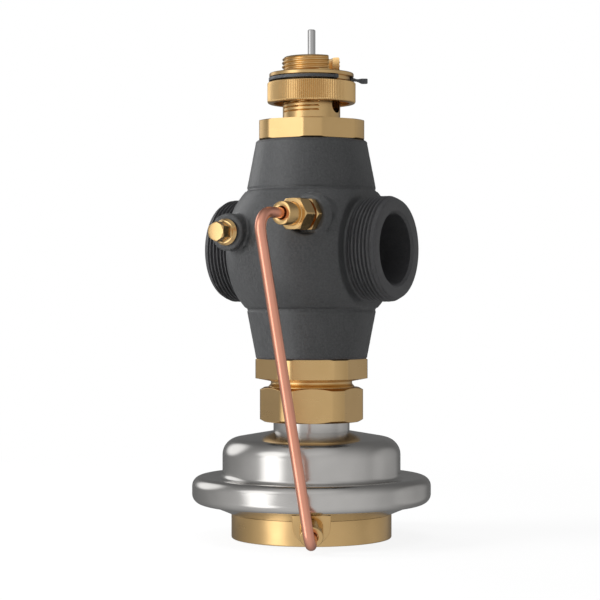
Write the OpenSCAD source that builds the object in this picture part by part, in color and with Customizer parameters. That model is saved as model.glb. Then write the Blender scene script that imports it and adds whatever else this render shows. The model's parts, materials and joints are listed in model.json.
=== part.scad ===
// Pressure independent control valve with threaded ports, an adjustable lift limit
// and a diaphragm regulator below the body. Z is up, X runs along the pipe and
// the origin is the centre of the flat base.

/* [Pipe ports] */
// Distance between the two port faces
face_to_face = 110; // [102:1:118]
// Outside diameter of the port threads
port_thread_d = 59.6; // [57:0.1:62]
// Distance between two port thread crests
port_pitch = 2.309; // [1.8:0.1:2.6]
// Bore of the ports
port_bore_d = 40; // [36:0.5:42]

/* [Cast body] */
// Height of the cast body between its two machined rims
body_h = 125; // [121:1:132]
// Diameter of the ball in the middle of the body
body_ball_d = 101.2; // [99:0.2:104]
// Diameter of the two machined rims
body_rim_d = 64; // [62:0.2:66]
// Half distance between the flats that the ports stand on
port_flat_x = 36.5; // [35.5:0.1:37.5]

/* [Stem and control cone] */
// Diameter of the control stem
stem_d = 4.5; // [4:0.1:5]
// Height of the stem end above the threaded neck
stem_show_h = 16; // [8:0.5:20]
// Travel of the control cone from shut to open
lift_travel = 10; // [6:0.5:10]

/* [Upper bonnet] */
// Width across the flats of both bonnet hexagons
bonnet_flats = 60; // [58:0.5:61]
// Thickness of the upper hexagon
upper_hex_h = 11; // [8:0.5:14]
// Height of the neck above the upper hexagon
neck_h = 37; // [36:0.5:40]
// Outside diameter of the actuator thread
actuator_thread_d = 34; // [33.4:0.1:34.6]
// Width of the lower slot in the neck
slot_w = 9; // [7:0.5:10]

/* [Setting ring] */
// Outside diameter of the knurled ring
ring_d = 50.6; // [49:0.2:54]
// Height of the ring
ring_h = 17.4; // [16.8:0.1:18.4]
// Free travel of the ring down to the upper hexagon
ring_travel = 10; // [6:0.5:10]

/* [Lower bonnet and union nut] */
// Thickness of the lower hexagon
lower_hex_h = 11.2; // [8:0.5:14]
// Width across the flats of the union nut
union_flats = 55; // [54:0.5:57]
// Height of the union nut
union_h = 19.6; // [18:0.2:24]
// Neck that shows between the union nut and the lower hexagon
bonnet_neck_h = 5.2; // [4.5:0.1:8]

/* [Regulator housing] */
// Outside diameter of the rolled band
band_d = 137.2; // [135:0.2:142]
// Height of the rolled band
band_h = 15.5; // [15:0.1:17]
// Height of the band's underside above the base
band_z = 19.9; // [19.5:0.1:23]
// Diameter of the dome wall
dome_d = 102.4; // [98:0.2:104]
// Height of the dome above the band
dome_h = 25.8; // [24:0.2:32]
// Diameter of the steel neck
steel_neck_d = 43.8; // [43:0.1:44.4]
// Steel neck that shows below the union nut
steel_neck_h = 5.5; // [4:0.1:10]
// Thickness of the pressed sheet
sheet_t = 2; // [1.5:0.1:2.2]
// Travel of the regulator from open to shut
regulator_travel = 4; // [2:0.5:4]

/* [Base] */
// Diameter of the brass base
base_d = 92.1; // [91:0.1:94]
// Height of the rim of the base
base_h = 14; // [13.4:0.1:14.4]

/* [Impulse tube] */
// Outside diameter of the copper tube
tube_d = 6; // [5:0.1:6.2]
// Wall of the copper tube
tube_wall = 1; // [0.6:0.1:1.4]

/* [Hidden] */
$fn = 96;

// Clearances and the overrun of cuts
cut = 1;
snug = 0.02;
fit = 0.1;
run_fit = 0.05;
free = 0.3;
full_turn = 360;
half_turn = 180;
quarter_turn = 90;

// Colours
iron = [0.29, 0.29, 0.30];
brass = [0.80, 0.66, 0.40];
steel = [0.72, 0.71, 0.69];
dark_steel = [0.50, 0.50, 0.51];
copper = [0.85, 0.55, 0.44];
rubber = [0.10, 0.10, 0.11];
plastic = [0.13, 0.14, 0.15];

// Heights of the main stack, from the base up
band_top_z = band_z + band_h;
dome_top_z = band_top_z + dome_h;
union_z = dome_top_z + steel_neck_h;
union_top_z = union_z + union_h;
lower_hex_z = union_top_z + bonnet_neck_h;
body_z = lower_hex_z + lower_hex_h;
port_z = body_z + body_h / 2;
body_top_z = body_z + body_h;
upper_hex_z = body_top_z + free;
upper_hex_top_z = upper_hex_z + upper_hex_h;
neck_top_z = upper_hex_top_z + neck_h;
stem_top_z = neck_top_z + stem_show_h;

// Cast body
body_r = body_ball_d / 2;
rim_r = body_rim_d / 2;
rim_edge = 0.8;
shoulder_h = 35;
shoulder_r = sqrt(body_r * body_r - shoulder_h * shoulder_h);
shoulder_step = 0.6;
port_thread_r = port_thread_d / 2;
port_bore_r = port_bore_d / 2;
port_face_x = face_to_face / 2;
port_edge_in = 2;
port_edge_r = port_thread_r - port_edge_in;
port_edge_l = 3.7;
port_root_depth = 1.3;
port_relief_l = 2.1;
port_land_l = 0.9;
port_mouth = 1.4;
port_thread_l = port_face_x - port_flat_x - port_relief_l - port_edge_l - port_land_l;
crest_share = 0.24;
root_share = 0.2;
socket_r = 25.5;
socket_l = 16;
chamber_r = 21;
chamber_wall = 3.5;
passage_end_x = chamber_r + chamber_wall;
passage_step = 1;
passage_r = port_bore_r - passage_step;
web_h = 8;
web_bottom_z = port_z - web_h / 2;
web_top_z = port_z + web_h / 2;
seat_hole_r = 17;

// Bosses on the front of the body
plug_x = -25;
plug_rise = 9.1;
plug_z = port_z + plug_rise;
plug_boss_r = 10.5;
plug_boss_l = 9.5588;
plug_boss_y = -sqrt(body_r * body_r - plug_x * plug_x - plug_rise * plug_rise) - plug_boss_l;
boss_depth = 26;
boss_edge = 0.8;
fitting_turn = 6;
fitting_x = 22;
fitting_rise = 18.2;
fitting_boss_l = 0.4254;
fitting_y = -sqrt(body_r * body_r - fitting_x * fitting_x - fitting_rise * fitting_rise)
    - fitting_boss_l;
fitting_z = port_z + fitting_rise;
fitting_boss_r = 10.8;
fitting_root_r = 13.5;
fitting_root_h = 4;
fitting_spot_l = 9;
stud_r = 4.9;
stud_l = 8;
drill_r = 2;
fitting_drill_l = 36;
plug_drill_l = 38;

// Seat insert and control cone
insert_flange_r = 19;
insert_flange_h = 2.5;
insert_low = 2.5;
lip_h = 1;
lip_w = 1;
insert_bore_r = 13;
insert_groove_r = 15.2;
insert_groove_h = 2.2;
insert_seal_r = 0.8;
upper_lip_z = web_top_z + insert_flange_h + lip_h;
lower_lip_z = web_bottom_z - insert_low - lip_h;
cone_r = 16;
cone_h = 5;
cone_seal_h = 2;
cone_seal_in_r = 11.4;
cone_seal_out_r = 15;
cone_z = upper_lip_z + free;
cone_top_z = cone_z + cone_h;
cone_hub_r = 6.5;
cone_hub_h = 8;
skirt_gap = 0.4;
skirt_r = insert_bore_r - skirt_gap;
skirt_wall = 1.8;
skirt_l = 12;
skirt_notches = 4;
notch_w = 9;
notch_tip_share = 0.25;
stem_r = stem_d / 2;
stem_foot = 3;
stem_tip = 0.5;

// Upper bonnet
hex_corner_l = 1.7;
hex_turned_r = bonnet_flats / 2 + hex_corner_l;
plug_r = socket_r - fit;
hex_edge = 0.7;
hex_edge_drop = 0.4;
bonnet_plug_l = 15;
bonnet_plug_z = upper_hex_z - bonnet_plug_l;
spring_pocket_in_r = 8;
spring_pocket_out_r = 13;
spring_pocket_h = 2;
neck_r = 16.55;
actuator_r = actuator_thread_d / 2;
actuator_thread_l = 7.8;
actuator_edge = 1.5;
neck_pitch = 2.309;
neck_root_depth = 1.0;
neck_bore_r = 12.15;
neck_floor_h = 2;
slot_drop = 4.4;
slot_floor_z = upper_hex_top_z + slot_drop;
wide_slot_w = 12.6;
wide_slot_l = 8.4;
thread_start_h = 4.6;
plain_sector_w = 23.4;
gland_r = 5;
gland_floor_h = 5;
stem_seal_r = 1.2;
stem_seal_count = 3;
stem_seal_step = 2.9;
gland_nut_flats = 14;
gland_nut_h = 3;
gland_nut_shank = 6;
bonnet_seal_r = 1.1;
bonnet_groove = 2.6;

// Setting ring, limit bar and clip
ring_r = ring_d / 2;
ring_z = upper_hex_top_z + ring_travel + free;
ring_top_z = ring_z + ring_h;
ring_bore_r = actuator_r + free;
ring_hub_r = 22.2;
ring_lip_in = 1.1;
ring_lip_r = ring_r - ring_lip_in;
ring_lip_h = 2.2;
ring_lip_edge = 0.4;
clip_h = 2.4;
ring_shoulder_h = 1.1;
ring_shoulder_in = 2;
ring_edge = 0.8;
ring_recess_r = 21.9;
ring_recess_h = 6;
lip_z = ring_top_z - ring_lip_h;
clip_z = lip_z - clip_h;
shoulder_z = clip_z - ring_shoulder_h;
bar_h = 3.4;
bar_rise = 1.7;
bar_z = ring_z + ring_recess_h + bar_rise;
bar_pocket_r = 20;
bar_end_r = bar_pocket_r - free;
bar_side = 0.3;
bar_disc_gap = 0.5;
bar_disc_r = neck_bore_r - bar_disc_gap;
bar_hole_r = stem_r + free;
clip_inset = 0.7;
clip_out_r = ring_r - clip_inset;
clip_in_r = ring_hub_r + free / 2;
clip_start_a = 32;
clip_end_a = 337;
clip_tab_l = 7.1;
clip_tab_r = ring_r + clip_tab_l;
clip_tab_w = 1.4;
clip_tab_side = 0.4;
clip_tab_h = 3;
clip_tab_drop = 0.9;
clip_end_w = 2.2;
clip_end_out = 0.35;
collar_r = 8;
collar_h = 2;
collar_z = bar_z - 2 * free - lift_travel - collar_h;

// Lower bonnet, union nut and steel neck
union_corner_l = 2.2;
union_turned_r = union_flats / 2 + union_corner_l;
union_thread_r = 24.2;
union_bore_r = union_thread_r + fit;
union_lip_h = 3.3;
union_edge = 2.3;
union_edge_drop = 1.3;
lower_corner_l = 2.3;
lower_turned_r = bonnet_flats / 2 + lower_corner_l;
lower_neck_r = 23.4;
lower_flare_r = 24.8;
lower_flare_h = 1.8;
lower_cone_h = 1.5;
lower_cone_r = 24.6;
lower_end_h = 8.7;
lower_end_z = union_z + lower_end_h;
lower_bore_r = 16;
lower_bore_l = 13;
bush_r = 7;
bush_l = 14;
bush_flange_r = 9;
bush_flange_h = 2;
rod_r = 4;
rod_seal_r = 1;
rod_seal_back = 2.1;
steel_neck_r = steel_neck_d / 2;
steel_neck_bore_r = 17;
steel_neck_in = 4;
collar_seat_z = union_z + union_lip_h + fit;
steel_collar_r = 23.8;
steel_collar_h = 3;
gasket_z = collar_seat_z + steel_collar_h + fit;
gasket_h = lower_end_z - gasket_z - fit;

// Housing shells
band_r = band_d / 2;
band_corner = 5.5;
crest_in = 6.4;
dome_r = dome_d / 2;
dome_corner = 10;
dome_slope = 10.4;
valley_r = 3;
valley_drop = 0.9;
curl_in = 1.8;
curl_r = band_r - crest_in - curl_in;
arc_steps = 6;
cone_inset = 0.45;
cone_in_r = base_d / 2 - cone_inset;
cone_drop = 6.1;
shell_floor_z = base_h;
cone_slope = atan2(cone_drop, curl_r - fit - cone_in_r);
shell_hole_r = 12;
rim_w = 10.6;
rim_in_r = band_r - rim_w;
rim_out_r = band_r - band_corner;
lower_rim_z = band_z + sheet_t + free / 2;
diaphragm_t = 1.8;
diaphragm_z = lower_rim_z + sheet_t + fit;
clamp_z = diaphragm_z + diaphragm_t + fit;
clamp_top_z = band_top_z - valley_drop - sheet_t - fit;
plate_inset = 19.5;
plate_r = rim_in_r - plate_inset;
plate_t = 3;
lower_plate_t = 2.5;
roll_gap_in = 3;
roll_in_r = plate_r + roll_gap_in;
roll_gap_out = 1.5;
roll_out_r = rim_in_r - roll_gap_out;
roll_r = (roll_out_r - roll_in_r) / 2;
roll_bow = 4.5;
seat_in_r = steel_neck_r + fit;
seat_out_r = 31;
seat_h = 5;
dome_under_z = dome_top_z - sheet_t / cos(dome_slope);
seat_edge_z = dome_under_z - (seat_out_r - steel_neck_r) * tan(dome_slope) - fit;
seat_bottom_z = seat_edge_z - seat_h;
upper_plate_z = diaphragm_z + diaphragm_t + fit;
upper_plate_top_z = upper_plate_z + plate_t;
lower_plate_z = diaphragm_z - fit - lower_plate_t;
rod_nut_flats = 13;
rod_nut_h = 3;
regulator_cone_h = 4;
regulator_hub_h = 8;
regulator_hub_r = 7;
regulator_top_z = lower_lip_z - free - regulator_travel;
regulator_cone_z = regulator_top_z - regulator_cone_h;
regulator_seal_h = 1.8;
top_nut_h = 3;
top_nut_flats = 12;
rod_top_z = regulator_top_z + top_nut_h;
bottom_nut_z = lower_plate_z - rod_nut_h - fit;
rod_end_l = 0.4;
rod_bottom_z = bottom_nut_z - rod_end_l;

// Springs
closing_coil_r = 10.5;
closing_wire_r = 0.9;
closing_turns = 5;
regulator_coil_r = 26;
regulator_wire_r = 1.7;
regulator_turns = 4;
spring_sides = 6;
spring_steps = 14;

// Base
base_r = base_d / 2;
base_edge = 0.8;
under_rim_w = 10.05;
under_out_r = base_r - under_rim_w;
under_in_r = 24;
under_h = 3;
base_channel_r = 1.2;
base_channel_z = 10.5;
base_seal_at_r = 31;
base_seal_r = 0.9;
base_groove = 1.7;
screw_at_r = 23;
screw_count = 4;
screw_r = 2.5;
screw_l = 7;
screw_head_r = 4.2;
screw_head_h = 3.2;

// Lower tube joint, on a pad of the base that looks at the tube
pad_turn = -60.7;
pad_r = 10.4;
pad_root_l = 8.05;
pad_back_r = base_r - pad_root_l;
pad_low = 0.2;
pad_gap = 0.2;
joint_tilt = 24;
joint_out = 6.85;
joint_r = base_r + joint_out;
nose_r = 6.5;
nose_gap = 0.18828;
nose_top_r = joint_r + nose_r * sin(joint_tilt);
joint_z = shell_floor_z + (nose_top_r - cone_in_r) * tan(cone_slope)
    - nose_r * cos(joint_tilt) - nose_gap;
pad_z = joint_z - pad_low;
nose_l = 11.5;
nose_hole_r = 3.6;
nose_edge = 0.8;
joint_stud_r = 4.8;
joint_stud_l = 6;
joint_drill_l = 3;
tube_in_l = 3;
stud_bore_l = 4.6;
ferrule_l = 3;
ferrule_wall = 1.2;

// Upper tube joint
fitting_flats = 17;
fitting_hex_h = 4.8;
fitting_hex_edge = 0.9;
nut_gap_l = 2;
male_thread_r = 6.3;
male_thread_l = 9;
nut_hex_l = 9;
nut_z = fitting_hex_h + nut_gap_l;
nut_nose_l = 10.3;
nut_end_z = nut_z + nut_hex_l + nut_nose_l;
body_tube_l = 7;
body_end_z = fitting_hex_h + male_thread_l;
tube_start_gap = 0.6;
tube_start_z = body_end_z - body_tube_l + tube_start_gap;

// Route of the copper tube
tube_r = tube_d / 2;
tube_bore_r = tube_r - tube_wall;
upper_bend_r = 10;
lower_bend_r = 9;
upper_run_l = 21;
lower_run_l = 18.6;
bend_swell = 0.02;
bend_lap = 0.1;
tube_end_gap = 1.5;

// Test plug
plug_hex_flats = 10;
plug_hex_l = 7;
plug_flange_r = 7.5;
plug_flange_h = 3.4;
plug_dish_r = 6.6;
plug_dish_h = 1.2;
washer_r = 7;
washer_h = 0.8;

// Vector sums for the tube
function length3(v) = sqrt(v.x * v.x + v.y * v.y + v.z * v.z);
function unit3(v) = v / length3(v);
function dot3(a, b) = a.x * b.x + a.y * b.y + a.z * b.z;
function polar_of(v) = acos(v.z / length3(v));
function turn_of(v) = atan2(v.y, v.x);
function bend_of(a, b) = acos(dot3(unit3(a), unit3(b)));
function side_x(p, t) = [cos(t) * cos(p), sin(t) * cos(p), -sin(p)];
function side_y(t) = [-sin(t), cos(t), 0];

function fitting_point(s) = [
    fitting_x - s * sin(fitting_turn), fitting_y - s * cos(fitting_turn), fitting_z
];
function joint_point(s) = [
    (joint_r + s * cos(joint_tilt)) * cos(pad_turn),
    (joint_r + s * cos(joint_tilt)) * sin(pad_turn),
    joint_z - s * sin(joint_tilt)
];
tube_start = fitting_point(tube_start_z);
tube_corner_top = fitting_point(nut_end_z + upper_run_l);
tube_corner_low = joint_point(nose_l + lower_run_l);
tube_finish = joint_point(joint_stud_l - tube_in_l - tube_end_gap);

// Points of an arc in an outline
function arc(at, r, from, to) = [
    for (i = [0 : arc_steps])
        let (a = from + (to - from) * i / arc_steps)
        [at.x + r * cos(a), at.y + r * sin(a)]
];

// One thread as an outline of crests and roots, from bottom to top
function ridges(r, depth, pitch, z, l) = [
    for (i = [0 : floor(l / pitch) - 1])
        for (p = [
            [r - depth, root_share / 2], [r, (1 - crest_share) / 2],
            [r, (1 + crest_share) / 2], [r - depth, 1 - root_share / 2]
        ])
        [p.x, z + (i + p.y) * pitch]
];

// A hexagon with its corners turned round and both edges bevelled
module turned_hex(flats, turned_r, h, low_edge, low_drop, high_edge, high_drop) {
    intersection() {
        rotate([0, 0, half_turn / 6])
            cylinder(r = flats / 2 / cos(half_turn / 6), h = h, $fn = 6);
        rotate_extrude()
            polygon([
                [0, 0], [turned_r - low_edge, 0], [turned_r, low_drop],
                [turned_r, h - high_drop], [turned_r - high_edge, h], [0, h]
            ]);
    }
}

module ring_of(at_r, r, z) {
    translate([0, 0, z])
        rotate_extrude()
            translate([at_r, 0])
                circle(r);
}

module tube_of(out_r, in_r, z, h) {
    translate([0, 0, z])
        difference() {
            cylinder(r = out_r, h = h);
            translate([0, 0, -cut])
                cylinder(r = in_r, h = h + 2 * cut);
        }
}

module hex_nut(flats, hole_r, h) {
    difference() {
        turned_hex(flats, flats / 2 / cos(half_turn / 6) - 0.05 * flats, h, flats * 0.05,
                   flats * 0.03, flats * 0.05, flats * 0.03);
        translate([0, 0, -cut])
            cylinder(r = hole_r, h = h + 2 * cut);
    }
}

// A coil spring as one closed tube with flattened ends left out
module coil(at_r, wire_r, turns, z, h) {
    rings = turns * spring_steps;
    rise = h - 2 * wire_r;
    points = [
        for (i = [0 : rings])
            for (k = [0 : spring_sides - 1])
                let (
                    a = full_turn * turns * i / rings,
                    b = full_turn * k / spring_sides,
                    r = at_r + wire_r * cos(b)
                )
                [r * cos(a), r * sin(a), z + wire_r + rise * i / rings + wire_r * sin(b)]
    ];
    faces = [
        for (i = [0 : rings - 1])
            for (k = [0 : spring_sides - 1])
                let (n = (k + 1) % spring_sides, low = i * spring_sides, high = low + spring_sides)
                each [[low + k, high + k, high + n], [low + k, high + n, low + n]]
    ];
    first = [for (k = [1 : spring_sides - 2]) [0, k, k + 1]];
    last_at = rings * spring_sides;
    last = [for (k = [1 : spring_sides - 2]) [last_at, last_at + k + 1, last_at + k]];
    polyhedron(points = points, faces = concat(faces, first, last));
}

// Frames of the two tube joints: Z points out of the valve
module at_upper_fitting() {
    translate([fitting_x, fitting_y, fitting_z])
        rotate([0, 0, -fitting_turn])
            rotate([quarter_turn, 0, 0])
                children();
}

module at_lower_joint() {
    rotate([0, 0, pad_turn])
        translate([joint_r, 0, joint_z])
            rotate([0, quarter_turn + joint_tilt, 0])
                children();
}

module at_plug() {
    translate([plug_x, plug_boss_y, plug_z])
        rotate([quarter_turn, 0, 0])
            children();
}

// Half of the cast body's outer form, above the port axis
module body_half_outside() {
    rotate_extrude()
        polygon([
            [0, 0], [shoulder_r, 0], [shoulder_r, shoulder_h],
            [shoulder_r + shoulder_step, shoulder_h],
            [rim_r, body_h / 2 - rim_edge],
            [rim_r - rim_edge, body_h / 2], [0, body_h / 2]
        ]);
}

module port_outside() {
    rotate([0, quarter_turn, 0])
        rotate_extrude()
            polygon(concat(
                [[0, 0], [port_thread_r - port_root_depth, 0],
                 [port_thread_r - port_root_depth, port_flat_x + port_relief_l]],
                ridges(port_thread_r, port_root_depth, port_pitch,
                       port_flat_x + port_relief_l, port_thread_l),
                [[port_thread_r, port_face_x - port_edge_l - port_land_l],
                 [port_thread_r, port_face_x - port_edge_l],
                 [port_edge_r, port_face_x], [0, port_face_x]]
            ));
}

// The way from one port to its chamber, seen with the chamber above the port axis
module half_cavity() {
    rotate([0, quarter_turn, 0])
        translate([0, 0, passage_end_x])
            cylinder(r = port_bore_r, h = port_face_x);
    rotate([0, quarter_turn, 0])
        translate([0, 0, port_face_x - port_mouth])
            cylinder(r1 = port_bore_r, r2 = port_bore_r + port_mouth, h = port_mouth + snug);
    intersection() {
        rotate([0, quarter_turn, 0])
            cylinder(r = passage_r, h = passage_end_x + cut);
        translate([0, -port_bore_r, web_h / 2])
            cube([face_to_face, 2 * port_bore_r, port_bore_r]);
    }
    translate([0, 0, web_h / 2])
        cylinder(r = chamber_r, h = body_h / 2);
    translate([0, 0, body_h / 2 - socket_l])
        cylinder(r = socket_r, h = socket_l + cut);
}

module valve_body() {
    color(iron)
        difference() {
            union() {
                translate([0, 0, port_z]) {
                    intersection() {
                        union() {
                            sphere(r = body_r);
                            body_half_outside();
                            mirror([0, 0, 1]) body_half_outside();
                        }
                        cube([2 * port_flat_x, body_ball_d + cut, body_h + cut], center = true);
                    }
                    port_outside();
                    mirror([1, 0, 0]) port_outside();
                }
                at_plug()
                    translate([0, 0, -boss_depth]) {
                        cylinder(r = plug_boss_r, h = boss_depth - boss_edge);
                        translate([0, 0, boss_depth - boss_edge])
                            cylinder(r1 = plug_boss_r, r2 = plug_boss_r - boss_edge, h = boss_edge);
                    }
                at_upper_fitting() {
                    translate([0, 0, -fitting_root_h])
                        cylinder(r1 = fitting_root_r, r2 = fitting_boss_r, h = fitting_root_h);
                    translate([0, 0, -boss_depth])
                        cylinder(r = fitting_boss_r, h = boss_depth);
                }
            }
            translate([0, 0, port_z]) {
                half_cavity();
                rotate([0, half_turn, 0]) half_cavity();
                cylinder(r = seat_hole_r, h = web_h + cut, center = true);
            }
            at_plug() {
                translate([0, 0, -stud_l - cut])
                    cylinder(r = stud_r + fit, h = stud_l + 2 * cut);
                translate([0, 0, -plug_drill_l])
                    cylinder(r = drill_r, h = plug_drill_l);
            }
            at_upper_fitting() {
                cylinder(r = fitting_boss_r, h = fitting_spot_l);
                translate([0, 0, -stud_l - cut])
                    cylinder(r = stud_r + fit, h = stud_l + 2 * cut);
                translate([0, 0, -fitting_drill_l])
                    cylinder(r = drill_r, h = fitting_drill_l);
            }
        }
}

module valve_insert() {
    color(steel)
        difference() {
            rotate_extrude()
                polygon([
                    [insert_bore_r, lower_lip_z], [insert_bore_r + lip_w, lower_lip_z],
                    [insert_bore_r + lip_w, lower_lip_z + lip_h],
                    [seat_hole_r - fit, lower_lip_z + lip_h],
                    [seat_hole_r - fit, port_z - insert_groove_h / 2],
                    [insert_groove_r, port_z - insert_groove_h / 2],
                    [insert_groove_r, port_z + insert_groove_h / 2],
                    [seat_hole_r - fit, port_z + insert_groove_h / 2],
                    [seat_hole_r - fit, web_top_z], [insert_flange_r, web_top_z],
                    [insert_flange_r, upper_lip_z - lip_h],
                    [insert_bore_r + lip_w, upper_lip_z - lip_h],
                    [insert_bore_r + lip_w, upper_lip_z], [insert_bore_r, upper_lip_z]
                ]);
        }
}

module insert_seal() {
    color(rubber)
        ring_of(seat_hole_r - insert_seal_r - fit, insert_seal_r, port_z);
}

module control_stem() {
    color(steel) {
        translate([0, 0, cone_z + stem_foot])
            cylinder(r = stem_r, h = stem_top_z - stem_tip - cone_z - stem_foot);
        translate([0, 0, stem_top_z - stem_tip])
            cylinder(r1 = stem_r, r2 = stem_r - stem_tip, h = stem_tip);
    }
}

// Brass cone with a notched skirt that guides it in the seat insert
module control_cone() {
    color(brass)
        difference() {
            union() {
                tube_of(cone_r, 0, cone_z, cone_h);
                translate([0, 0, cone_top_z])
                    cylinder(r = cone_hub_r, h = cone_hub_h);
                translate([0, 0, cone_z - skirt_l])
                    cylinder(r = skirt_r, h = skirt_l + cut);
            }
            translate([0, 0, cone_z - skirt_l - cut])
                cylinder(r = skirt_r - skirt_wall, h = skirt_l + cut);
            tube_of(cone_seal_out_r + fit, cone_seal_in_r + skirt_wall - fit,
                    cone_z - cut, cone_seal_h + fit + cut);
            translate([0, 0, cone_z + stem_foot])
                cylinder(r = stem_r + snug, h = cone_h + cone_hub_h);
            for (i = [0 : skirt_notches - 1])
                rotate([0, 0, full_turn * i / skirt_notches])
                    translate([skirt_r - skirt_wall - cut, 0, 0])
                        rotate([quarter_turn, 0, quarter_turn])
                            linear_extrude(skirt_wall + 2 * cut)
                                polygon([
                                    [-notch_w / 2, cone_z - skirt_l - cut],
                                    [notch_w / 2, cone_z - skirt_l - cut],
                                    [notch_w / 2 * notch_tip_share, cone_z - cut],
                                    [-notch_w / 2 * notch_tip_share, cone_z - cut]
                                ]);
        }
}

module cone_seal() {
    color(rubber)
        tube_of(cone_seal_out_r, cone_seal_in_r + skirt_wall, cone_z, cone_seal_h);
}

module closing_spring() {
    color(dark_steel)
        coil(closing_coil_r, closing_wire_r, closing_turns, cone_top_z + free,
             bonnet_plug_z + spring_pocket_h - free - cone_top_z - free);
}

module lift_collar() {
    color(steel)
        tube_of(collar_r, stem_r + snug, collar_z, collar_h);
}

// Slot through both walls of the neck, open at the top, along X
module neck_slot() {
    translate([-hex_turned_r, -slot_w / 2, slot_floor_z + slot_w / 2])
        cube([2 * hex_turned_r, slot_w, neck_h]);
    translate([0, 0, slot_floor_z + slot_w / 2])
        rotate([0, quarter_turn, 0])
            cylinder(r = slot_w / 2, h = 2 * hex_turned_r, center = true);
    translate([-hex_turned_r, -wide_slot_w / 2, neck_top_z - wide_slot_l])
        cube([2 * hex_turned_r, wide_slot_w, neck_h]);
}

// The neck thread as grooves that stop short of the slots
module neck_grooves() {
    thread_z = upper_hex_top_z + thread_start_h;
    difference() {
        tube_of(neck_r + cut, neck_r - neck_root_depth - cut, thread_z,
                neck_top_z - actuator_thread_l - thread_z);
        rotate_extrude()
            polygon(concat(
                [[0, thread_z - cut], [neck_r, thread_z - cut], [neck_r, thread_z]],
                ridges(neck_r, neck_root_depth, neck_pitch, thread_z,
                       neck_top_z - actuator_thread_l - thread_z),
                [[neck_r, neck_top_z - actuator_thread_l],
                 [neck_r, neck_top_z], [0, neck_top_z]]
            ));
        translate([-hex_turned_r, -plain_sector_w / 2, thread_z - cut])
            cube([2 * hex_turned_r, plain_sector_w, neck_h]);
    }
}

module upper_bonnet() {
    thread_from = neck_top_z - actuator_thread_l;
    color(brass)
        difference() {
            union() {
                translate([0, 0, upper_hex_z])
                    rotate([0, 0, half_turn / 6])
                        turned_hex(bonnet_flats, hex_turned_r, upper_hex_h,
                                   hex_edge, hex_edge_drop, hex_edge, hex_edge_drop);
                translate([0, 0, bonnet_plug_z])
                    cylinder(r = plug_r, h = bonnet_plug_l + cut);
                translate([0, 0, upper_hex_top_z - cut])
                    cylinder(r = neck_r, h = thread_from + 2 * cut - upper_hex_top_z);
                rotate_extrude()
                    polygon(concat(
                        [[0, thread_from], [actuator_r - neck_root_depth, thread_from]],
                        ridges(actuator_r, neck_root_depth, neck_pitch, thread_from,
                               actuator_thread_l),
                        [[actuator_r - actuator_edge, neck_top_z], [0, neck_top_z]]
                    ));
            }
            translate([0, 0, upper_hex_top_z + neck_floor_h])
                cylinder(r = neck_bore_r, h = neck_h);
            translate([0, 0, bonnet_plug_z + gland_floor_h])
                cylinder(r = gland_r, h = neck_h);
            translate([0, 0, bonnet_plug_z - cut])
                cylinder(r = stem_r + run_fit, h = neck_h);
            tube_of(spring_pocket_out_r, spring_pocket_in_r, bonnet_plug_z - cut,
                    spring_pocket_h + cut);
            tube_of(plug_r + cut, plug_r - bonnet_groove, upper_hex_z - bonnet_groove,
                    bonnet_groove);
            neck_slot();
            neck_grooves();
        }
}

module upper_bonnet_seal() {
    color(rubber)
        ring_of(plug_r - bonnet_groove + bonnet_seal_r + fit, bonnet_seal_r,
                upper_hex_z - bonnet_groove / 2);
}

module stem_seals() {
    color(rubber)
        for (i = [0 : stem_seal_count - 1])
            ring_of(gland_r - stem_seal_r - fit, stem_seal_r,
                    bonnet_plug_z + gland_floor_h + stem_seal_r + fit + i * stem_seal_step);
}

module gland_nut() {
    nut_seat_z = upper_hex_top_z + neck_floor_h;
    color(brass)
        difference() {
            union() {
                translate([0, 0, nut_seat_z + fit / 2])
                    turned_hex(gland_nut_flats, gland_nut_flats * 0.55, gland_nut_h,
                               hex_edge, hex_edge_drop, hex_edge, hex_edge_drop);
                translate([0, 0, nut_seat_z - gland_nut_shank])
                    cylinder(r = gland_r - fit, h = gland_nut_shank + cut);
            }
            translate([0, 0, nut_seat_z - gland_nut_shank - cut])
                cylinder(r = stem_r + free, h = gland_nut_shank + gland_nut_h + 3 * cut);
        }
}

module setting_ring() {
    color(brass)
        rotate_extrude()
            polygon([
                [ring_recess_r, ring_z], [ring_r - ring_edge, ring_z],
                [ring_r, ring_z + ring_edge], [ring_r, shoulder_z],
                [ring_r - ring_shoulder_in, clip_z], [ring_hub_r, clip_z],
                [ring_hub_r, lip_z], [ring_lip_r, lip_z],
                [ring_lip_r, ring_top_z - ring_lip_edge],
                [ring_lip_r - ring_lip_edge, ring_top_z], [ring_bore_r, ring_top_z],
                [ring_bore_r, bar_z + bar_h + free], [bar_pocket_r, bar_z + bar_h + free],
                [bar_pocket_r, bar_z - free], [ring_bore_r, bar_z - free],
                [ring_bore_r, ring_z + ring_recess_h], [ring_recess_r, ring_z + ring_recess_h]
            ]);
}

// Bar through the neck slot whose ends ride in the ring and which stops the stem collar
module limit_bar() {
    color(steel)
        difference() {
            intersection() {
                translate([0, 0, bar_z])
                    cylinder(r = bar_end_r, h = bar_h);
                union() {
                    translate([-bar_end_r, -slot_w / 2 + bar_side, bar_z - cut])
                        cube([2 * bar_end_r, slot_w - 2 * bar_side, bar_h + 2 * cut]);
                    translate([0, 0, bar_z - cut])
                        cylinder(r = bar_disc_r, h = bar_h + 2 * cut);
                }
            }
            translate([0, 0, bar_z - cut])
                cylinder(r = bar_hole_r, h = bar_h + 2 * cut);
        }
}

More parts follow.
